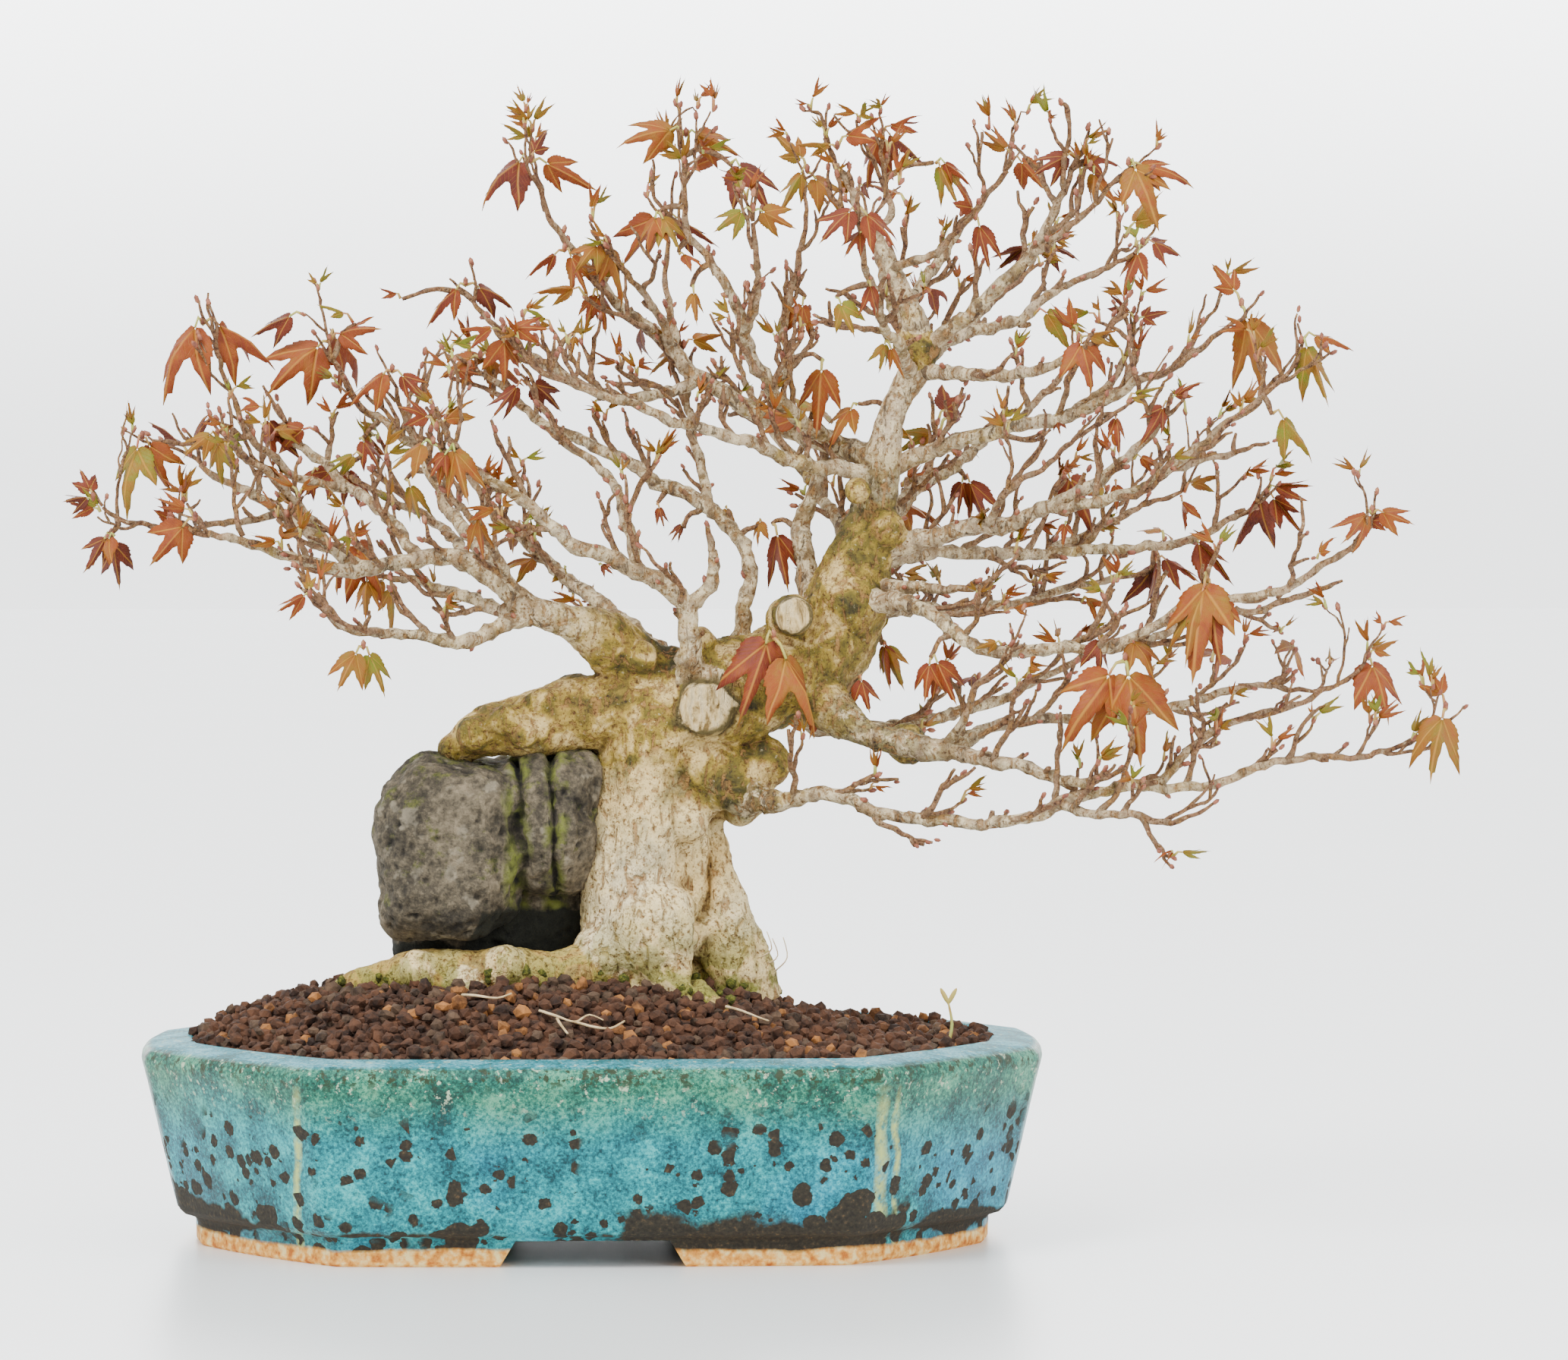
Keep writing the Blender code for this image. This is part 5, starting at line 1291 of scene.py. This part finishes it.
# Painted shade: crevices, found by pointiness, are darkened.
pointed = add(tree, "NewGeometry")["Pointiness"]
crevice_shade = ramp(pointed, [(0.43, (0.3, 0.22, 0.1)), (0.492, (1.0, 1.0, 1.0))])
bark_colour = mix(1.0, bark_colour, crevice_shade, "MULTIPLY")
coat(shader, bark_colour, 0.78)
relief = streaks * 0.6 + (fine * 0.5 - flakes * 0.5)
bump(shader, relief, 1.0, 0.0016)

finish_piece("trunk", heavy, bark, ["wood"])

bud_skin, *_ = speckled("bud_scales", [(0.3, (0.12, 0.03, 0.015)), (0.55, (0.32, 0.1, 0.05)),
                                       (0.75, (0.5, 0.26, 0.12))], (500.0,), 0.55)

# %% [markdown]
# ## Leaves
#
# A trident maple leaf has three long pointed lobes with toothed edges. A blade could be
# cut from a textured card; here a small grid is bent round a half-turn so its rows run
# from the stalk to the rim, which gives the lobes, the notches and every tooth as real
# edges. A thin solidify closes it. Four such blades, each a little different, are then
# folded, curled and drooped leaf by leaf.

# %% Four blades to copy from
LOBES = [(0, 1.0), (4, 0.87), (9, 0.70), (15, 0.53), (23, 0.40), (30, 0.46), (39, 0.62), (45, 0.75),
         (50, 0.82), (55, 0.68), (63, 0.53), (78, 0.42), (98, 0.35), (122, 0.25), (150, 0.15), (180, 0.10)]
BLADE_COLUMNS = 54
BLADE_ROWS = 4


def lobe_reach(angle):
    """How far the blade's rim lies from the stalk, at an angle from the middle lobe."""
    for (low, near), (high, far) in zip(LOBES, LOBES[1:]):
        if angle <= high:
            return near + (far - near) * (angle - low) / (high - low)
    return LOBES[-1][1]


def blade(width, side_lobes, seed):
    work = bmesh.new()
    bmesh.ops.create_grid(work, x_segments=BLADE_COLUMNS, y_segments=BLADE_ROWS, size=1.0)
    leaf_place = work.verts.layers.float_vector.new("leaf_place")
    for vert in work.verts:
        # Columns crowd where the lobes are, so the tips stay sharp.
        share = vert.co.x
        angle = math.radians(180) * math.copysign(abs(share) ** 1.35, share)
        column = round((share + 1) / 2 * BLADE_COLUMNS)
        out = 0.05 + 0.95 * (vert.co.y + 1) / 2
        reach = lobe_reach(abs(math.degrees(angle)))
        if abs(angle) > math.radians(26):
            reach *= side_lobes
        tooth = 0.065 if column % 2 else -0.02
        reach *= 1 + tooth * out ** 6 + 0.05 * noise.noise(Vector((angle * 2.1, seed, 0)))
        along, across = out * reach * math.cos(angle), out * reach * math.sin(angle) * width
        vert.co = (along, across, 0)
        vert[leaf_place] = (along, across, 0)
    bmesh.ops.solidify(work, geom=list(work.faces), thickness=0.012)
    return work


blades = [blade(*shape) for shape in ((1.0, 1.0, 0.3), (1.15, 0.9, 4.1), (0.88, 1.08, 7.7),
    (1.05, 0.72, 11.2))]
print("blade faces:", [len(one.faces) for one in blades])

# %% [markdown]
# Each leaf hangs from a stalk that leaves the bud upwards and arches over. The blade then
# droops to its tip. The shoots of the working solid come first; smaller leaves seen
# between them follow, each listed by its bud and tips across and up, in millimetres, and
# set at the depth of the nearest limb. A few of the twigs at the back carry leaves by rule.

# %% The smaller leaves, listed by bud and tips
SMALL_LEAVES = [
    ((-188, 210), [(-197, 213), (-193, 217)]), ((-184, 203), [(-191, 194)]),
    ((-168, 206), [(-171, 214)]), ((-127, 222), [(-133, 213)]), ((-114, 226), [(-124, 221)]),
    ((-115, 231), [(-109, 222)]), ((-101, 219), [(-97, 207)]),
    ((-87, 228), [(-93, 220), (-82, 213)]), ((-80, 209), [(-78, 197)]),
    ((-117, 265), [(-127, 270)]), ((-103, 272), [(-109, 275)]), ((-88, 250), [(-80, 250)]),
    ((-46, 275), [(-49, 262), (-43, 262)]), ((-52, 262), [(-53, 255)]),
    ((-28, 296), [(-31, 284), (-22, 285)]), ((-22, 284), [(-15, 280)]), ((-7, 310), [(4, 296)]),
    ((53, 311), [(59, 299), (63, 304)]), ((30, 290), [(24, 282)]), ((15, 272), [(13, 258)]),
    ((22, 271), [(27, 260)]), ((31, 275), [(33, 265)]), ((20, 254), [(18, 232)]),
    ((30, 241), [(22, 228)]), ((37, 259), [(35, 250), (42, 248)]), ((-18, 275), [(-17, 264)]),
    ((2, 207), [(1, 200)]), ((6, 206), [(10, 187)]), ((58, 223), [(50, 216)]),
    ((63, 219), [(61, 208), (70, 205)]), ((5, 166), [(3, 154)]), ((1, 160), [(-3, 150)]),
    ((12, 172), [(23, 160)]), ((22, 160), [(16, 145)]), ((30, 162), [(33, 152)]),
    ((38, 171), [(40, 158), (44, 158)]), ((50, 168), [(48, 156), (57, 155)]),
    ((-28, 212), [(-26, 205)]), ((-20, 206), [(-24, 201)]), ((-8, 211), [(-7, 205)]),
    ((-55, 193), [(-56, 186)]), ((-45, 195), [(-41, 192)]), ((97, 309), [(97, 296)]),
    ((82, 267), [(98, 262)]), ((87, 238), [(88, 232)]), ((101, 238), [(102, 226)]),
    ((108, 225), [(116, 222)]), ((103, 219), [(103, 210)]), ((130, 215), [(140, 220)]),
    ((129, 214), [(130, 204)]), ((131, 200), [(143, 188)]),
    ((127, 190), [(120, 168), (122, 163), (130, 168)]), ((97, 174), [(97, 163)]),
    ((105, 174), [(112, 163)]), ((70, 172), [(62, 171), (75, 168)]), ((89, 207), [(88, 200)]),
    ((146, 238), [(157, 225)]), ((157, 197), [(162, 203)]), ((170, 206), [(178, 208)])
]

# %% Hang the leaves
leaves = bmesh.new()
stalks = bmesh.new()
leaf_dice = random.Random(8)
limb_points = [point for limb in LIMBS + TRUNK for point in smoothed(limb_route(limb), 0.003)]
flat_limbs = KDTree(len(limb_points))
for number, (place, radius) in enumerate(limb_points):
    flat_limbs.insert((place.x, 0, place.z), number)
flat_limbs.balance()


def hang_leaf(start, tip, tint, closing=(0.35, 1.0)):
    """A stalk from the bud, arched over, and a blade that droops to its tip."""
    reach = tip - start
    length = reach.length
    stalk_share = leaf_dice.uniform(0.18, 0.30)
    lift = length * leaf_dice.uniform(0.05, 0.16)
    stalk_end = start + reach * stalk_share + Vector((0, 0, lift))
    knee = start.lerp(stalk_end, 0.55) + Vector((0, 0, lift * 0.8))
    stalk_radius = 0.00028 + length * 0.007
    route = smoothed([(start, stalk_radius * 1.5), (knee, stalk_radius), (stalk_end, stalk_radius * 0.8)],
        0.0022)
    join_into(stalks, tube(route, 6, 0.0))
    ahead = (tip - stalk_end)
    size = ahead.length
    ahead.normalize()
    facing = Vector((leaf_dice.uniform(-0.7, 0.7), -1.0, leaf_dice.uniform(0.2, 1.1)))
    if start.y > 0.045:
        facing.y = leaf_dice.uniform(0.2, 1.0)
    side = ahead.cross(facing).normalized()
    normal = side.cross(ahead).normalized()
    bulge = leaf_dice.uniform(0.05, 0.17)
    curl = leaf_dice.uniform(-0.1, 0.4)
    closed = leaf_dice.uniform(*closing)
    twist = leaf_dice.uniform(-0.5, 0.5)
    wide = leaf_dice.uniform(0.85, 1.1)
    seed = leaf_dice.uniform(0, 50)
    leaf = leaf_dice.choice(blades).copy()
    leaf_place = leaf.verts.layers.float_vector["leaf_place"]
    for vert in leaf.verts:
        along, across, thick = vert.co
        ripple = noise.noise(Vector((along * 3.2, across * 3.2, seed))) * 0.09 * min(1.0,
            abs(along) + abs(across))
        # A young blade hangs half closed: its side lobes swing towards the middle one and back.
        spread = math.hypot(along, across)
        angle = math.atan2(across, along) * (1 - 0.55 * closed)
        back = closed * abs(across) * 0.9
        along, across = spread * math.cos(angle), spread * math.sin(angle)
        up = thick + bulge * 4 * along * (1 - along) - curl * across ** 2 - back + ripple
        turned = twist * along
        flat = across * wide
        sideways = flat * math.cos(turned) - up * math.sin(turned)
        up = flat * math.sin(turned) + up * math.cos(turned)
        vert.co = stalk_end + (ahead * along + side * sideways + normal * up) * size
        stored = vert[leaf_place]
        vert[leaf_place] = (stored[0], stored[1], tint)
    join_into(leaves, leaf)


for start, tips in SHOOTS:
    shoot_tint = leaf_dice.uniform(0.1, 0.8)
    for tip in tips:
        hang_leaf(stretched(*start), stretched(*tip), min(1.0, max(0.0,
            shoot_tint + leaf_dice.uniform(-0.2, 0.2))))
    bud(stretched(*start), Vector((0, -0.3, 1)).normalized(), 0.0009)
for (x, height), tips in SMALL_LEAVES:
    near = flat_limbs.find_n((x * MM, 0, height * MM + TREE_LIFT), 5)
    closest = min(near, key=lambda hit: hit[2] + limb_points[hit[1]][0].y * 0.08)
    limb_place = limb_points[closest[1]][0]
    start = Vector((x * MM, limb_place.y, height * MM + TREE_LIFT))
    if closest[2] > 0.004:
        bend = limb_place.lerp(start, 0.5) + Vector((leaf_dice.uniform(-0.002, 0.002), 0.001,
            closest[2] * 0.16))
        link = smoothed([(limb_place, 0.0009), (bend, 0.0008), (start, 0.0006)], 0.0015)
        join_into(branches, tube(jointed(link, 0.006, 0.2), 6, 0.1))
    for tip_x, tip_height in tips:
        span = math.hypot(tip_x - x, tip_height - height) * MM
        tip = Vector((tip_x * MM, start.y - span * leaf_dice.uniform(0.15, 0.5),
            tip_height * MM + TREE_LIFT))
        hang_leaf(start, tip, leaf_dice.uniform(0.15, 0.95))
leaf_dice.shuffle(twig_ends)
BACK_LEAVES = 30
opened = 0
for start, direction in twig_ends:
    if start.y > 0.012 and opened < BACK_LEAVES:
        opened += 1
        spread = stray(leaf_dice, (-0.6, 0.6), (-0.2, 0.9), (-0.9, -0.1))
        tip = start + (direction * 0.6 + spread).normalized() * leaf_dice.uniform(0.011, 0.021)
        hang_leaf(start, tip, leaf_dice.uniform(0.1, 0.9))
    elif leaf_dice.random() < 0.6:
        # An opening bud: two small closed blades pointing up and out.
        for _ in range(2):
            spread = stray(leaf_dice, (-0.8, 0.8), (-0.8, 0.3), (-0.1, 0.8))
            tip = start + (direction * 0.7 + spread).normalized() * leaf_dice.uniform(0.006, 0.012)
            hang_leaf(start, tip, leaf_dice.uniform(0.45, 1.0), (1.1, 1.4))
print("leaf faces:", len(leaves.faces), "twigs with full leaves at the back:", opened)
for one in blades:
    one.free()

# %% [markdown]
# The leaves are turning: brick red, rust, tan and a few still yellow-green. The stored
# leaf place gives each blade its three pale veins with side veins between them, and each
# leaf's own tint picks its stage of autumn.

# %% Leaf and stalk materials
leaf_skin, tree, shader, place = new_material("autumn_leaf")
stored = add(tree, "Attribute", {"attribute_name": "leaf_place"})["Vector"]
parts = add(tree, "SeparateXYZ", None, {"Vector": stored})
flat_place = add(tree, "CombineXYZ", None, {"X": parts["X"], "Y": parts["Y"]})["Vector"]
reach = add(tree, "VectorMath", {"operation": "LENGTH"}, {0: flat_place})["Value"]
along = 0.0
for turn in (-50, 0, 50):
    axis = (math.cos(math.radians(turn)), math.sin(math.radians(turn)), 0.0)
    shadow = add(tree, "VectorMath", {"operation": "DOT_PRODUCT"}, {0: flat_place, 1: axis})["Value"]
    along = maths("MAXIMUM", along, shadow)
aside = maths("SQRT", maths("MAXIMUM", reach * reach - along * along, 0.0))
main_vein = ramp(aside, [(0.0, 1.0), (0.014, 0.8), (0.03, 0.0)])
slanted = maths("FRACT", (along - aside * 0.9) * 11.0)
side_vein = ramp(slanted, [(0.0, 0.0), (0.42, 0.0), (0.5, 0.55), (0.58, 0.0)])
veins = maths("MAXIMUM", main_vein, side_vein)
blotch = noise_node(place, 160.0, 4.0, 0.6, 0.4)
freckles = noise_node(place, 900.0, 4.0, 0.6)
stage = parts["Z"] + (blotch - 0.5) * 0.9
leaf_colour = ramp(stage, [(0.0, (0.085, 0.012, 0.006)), (0.28, (0.18, 0.026, 0.007)),
    (0.52, (0.28, 0.06, 0.007)), (0.75, (0.27, 0.115, 0.009)), (1.0, (0.17, 0.19, 0.01))])
edge = between(reach, 0.35, 1.0)
leaf_colour = mix(edge * 0.5, leaf_colour, (0.62, 0.38, 0.3), "MULTIPLY")
leaf_colour = mix(veins * 0.55, leaf_colour, (0.55, 0.26, 0.035))
leaf_colour = mix(ramp(freckles, [(0.62, 0.0), (0.75, 0.5)]), leaf_colour, (0.2, 0.05, 0.03))
coat(shader, leaf_colour, 0.55, 0.3)
bump(shader, freckles - veins * 1.5, 0.5, 0.0004)
finish_piece("leaves", leaves, leaf_skin,
    [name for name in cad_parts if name.startswith("leaf_shoot_")])

stalk_skin, *_ = speckled("leaf_stalk", [(0.35, (0.45, 0.12, 0.06)), (0.5, (0.5, 0.36, 0.08)),
                                         (0.65, (0.44, 0.48, 0.1))], (120.0, 3.0), 0.45)
finish_piece("leaf_stalks", stalks, stalk_skin)
finish_piece("branches", branches, bark)
finish_piece("buds", buds, bud_skin)

# %% [markdown]
# ## Small things on the soil
#
# Fine pale roots lie on the grains in front of the trunk, a seedling has come up at the
# right, and moss sits round the foot of the trunk and roots. Each is a few thin tubes or
# tufts set on the soil by the same falling ray as the grains.

# %% Surface roots, seedling and moss
small_dice = random.Random(31)
rootlets = bmesh.new()
ROOTLETS = [
    ((-62, -57), (-57, -61), (-52, -62), (-48, -59), (-44, -60)),
    ((-57, -61), (-56, -65), (-54, -68)),
    ((-52, -62), (-47, -65), (-42, -64), (-38, -61)),
    ((-84, -45), (-80, -49), (-74, -50), (-70, -48)),
    ((-9, -37), (-5, -40), (0, -40), (3, -43)),
]
for rootlet in ROOTLETS:
    route = []
    for number, (x, y) in enumerate(rootlet):
        spot = landing(x * MM, y * MM)[0]
        lift = 0.0030 + 0.0007 * (number % 2)
        route.append((spot + Vector((0, 0, lift)), (0.00045 - 0.00006 * number)))
    join_into(rootlets, tube(smoothed(route, 0.0015), 6, 0.1))
for x, height in ((4, 79), (6, 77), (2, 81)):
    foot = Vector((x, -6, height)) * MM + Vector((0, 0, TREE_LIFT))
    rise = Vector((small_dice.uniform(0.001, 0.004), -0.001, small_dice.uniform(0.007, 0.011)))
    bow = Vector((0.002, -0.001, -0.002))
    hair = [(foot, 0.00025), (foot + rise * 0.6 + bow, 0.0002), (foot + rise, 0.00015)]
    join_into(rootlets, tube(smoothed(hair, 0.0015), 5, 0.0))
root_skin, *_ = speckled("pale_rootlet", [(0.35, (0.45, 0.3, 0.13)), (0.6, (0.8, 0.62, 0.36))], (300.0,), 0.6)
finish_piece("surface_roots", rootlets, root_skin)

sprout = bmesh.new()
sprout_foot = landing(0.055, -0.028)[0]
stem = [(sprout_foot, 0.0005), (sprout_foot + Vector((0.001, 0, 0.006)), 0.00045),
    (sprout_foot + Vector((0.0, 0, 0.012)), 0.0003)]
join_into(sprout, tube(smoothed(stem, 0.0015), 6, 0.0))
for side in (-1, 1):
    leaflet = bmesh.new()
    bmesh.ops.create_icosphere(leaflet, subdivisions=2, radius=1.0)
    bmesh.ops.scale(leaflet, vec=(0.0007, 0.0003, 0.0028), verts=leaflet.verts)
    turn = Matrix.Translation(stem[-1][0]) @ Matrix.Rotation(side * 0.5, 4, "Y")
    turn = turn @ Matrix.Translation((0, 0, 0.0022))
    bmesh.ops.transform(leaflet, matrix=turn, verts=leaflet.verts)
    join_into(sprout, leaflet)
finish_piece("seedling", sprout, stalk_skin)

moss_work = bmesh.new()
wood_tree = obstacles[0]
MOSS_TRIES = 520
for _ in range(MOSS_TRIES):
    spot, _ = landing(small_dice.uniform(-0.135, 0.02), small_dice.uniform(-0.045, 0.045))
    near, _, _, gap = wood_tree.find_nearest(spot + Vector((0, 0, 0.001)))
    if gap > 0.0045 + 0.003 * noise.noise(spot * 90) or small_dice.random() < 0.25:
        continue
    place = near.lerp(spot, 0.3) + Vector((0, 0, small_dice.uniform(0.0003, 0.0035)))
    tuft = bmesh.new()
    bmesh.ops.create_icosphere(tuft, subdivisions=1, radius=small_dice.uniform(0.0009, 0.0019))
    for vert in tuft.verts:
        vert.co *= small_dice.uniform(0.6, 1.3)
    bmesh.ops.translate(tuft, vec=place, verts=tuft.verts)
    join_into(moss_work, tuft)
moss_skin, shader, moss_tone = speckled("cushion_moss", [
    (0.35, (0.02, 0.028, 0.003)), (0.52, (0.11, 0.12, 0.01)), (0.68, (0.3, 0.28, 0.04))],
    (900.0, 5.0, 0.7), 0.95)
bump(shader, moss_tone, 1.0, 0.0015)
finish_piece("moss", moss_work, moss_skin)

# %% [markdown]
# ## Drain screens and clips
#
# They hide under the soil and show only from below. The solids are already the right
# shape, so each only gets its real plastic or wire surface.

# %% Plastic and wire
plastic, shader, scuff = speckled("black_plastic", [
    (0.35, (0.012, 0.012, 0.013)), (0.65, (0.035, 0.034, 0.033))], (250.0,))
feed(shader.inputs["Roughness"], ramp(scuff, [(0.3, 0.4), (0.7, 0.6)]))
wire, shader, brushed = speckled("drawn_aluminium", [
    (0.35, (0.5, 0.5, 0.51)), (0.65, (0.72, 0.72, 0.73))], (900.0,))
feed(shader.inputs["Roughness"], ramp(brushed, [(0.3, 0.25), (0.7, 0.45)]))
feed(shader.inputs["Metallic"], 1.0)
for side in ("left", "right"):
    for name, finish in (("drain_screen_" + side, plastic), ("screen_clip_" + side, wire)):
        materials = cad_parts[name].data.materials
        materials.clear()
        materials.append(finish)
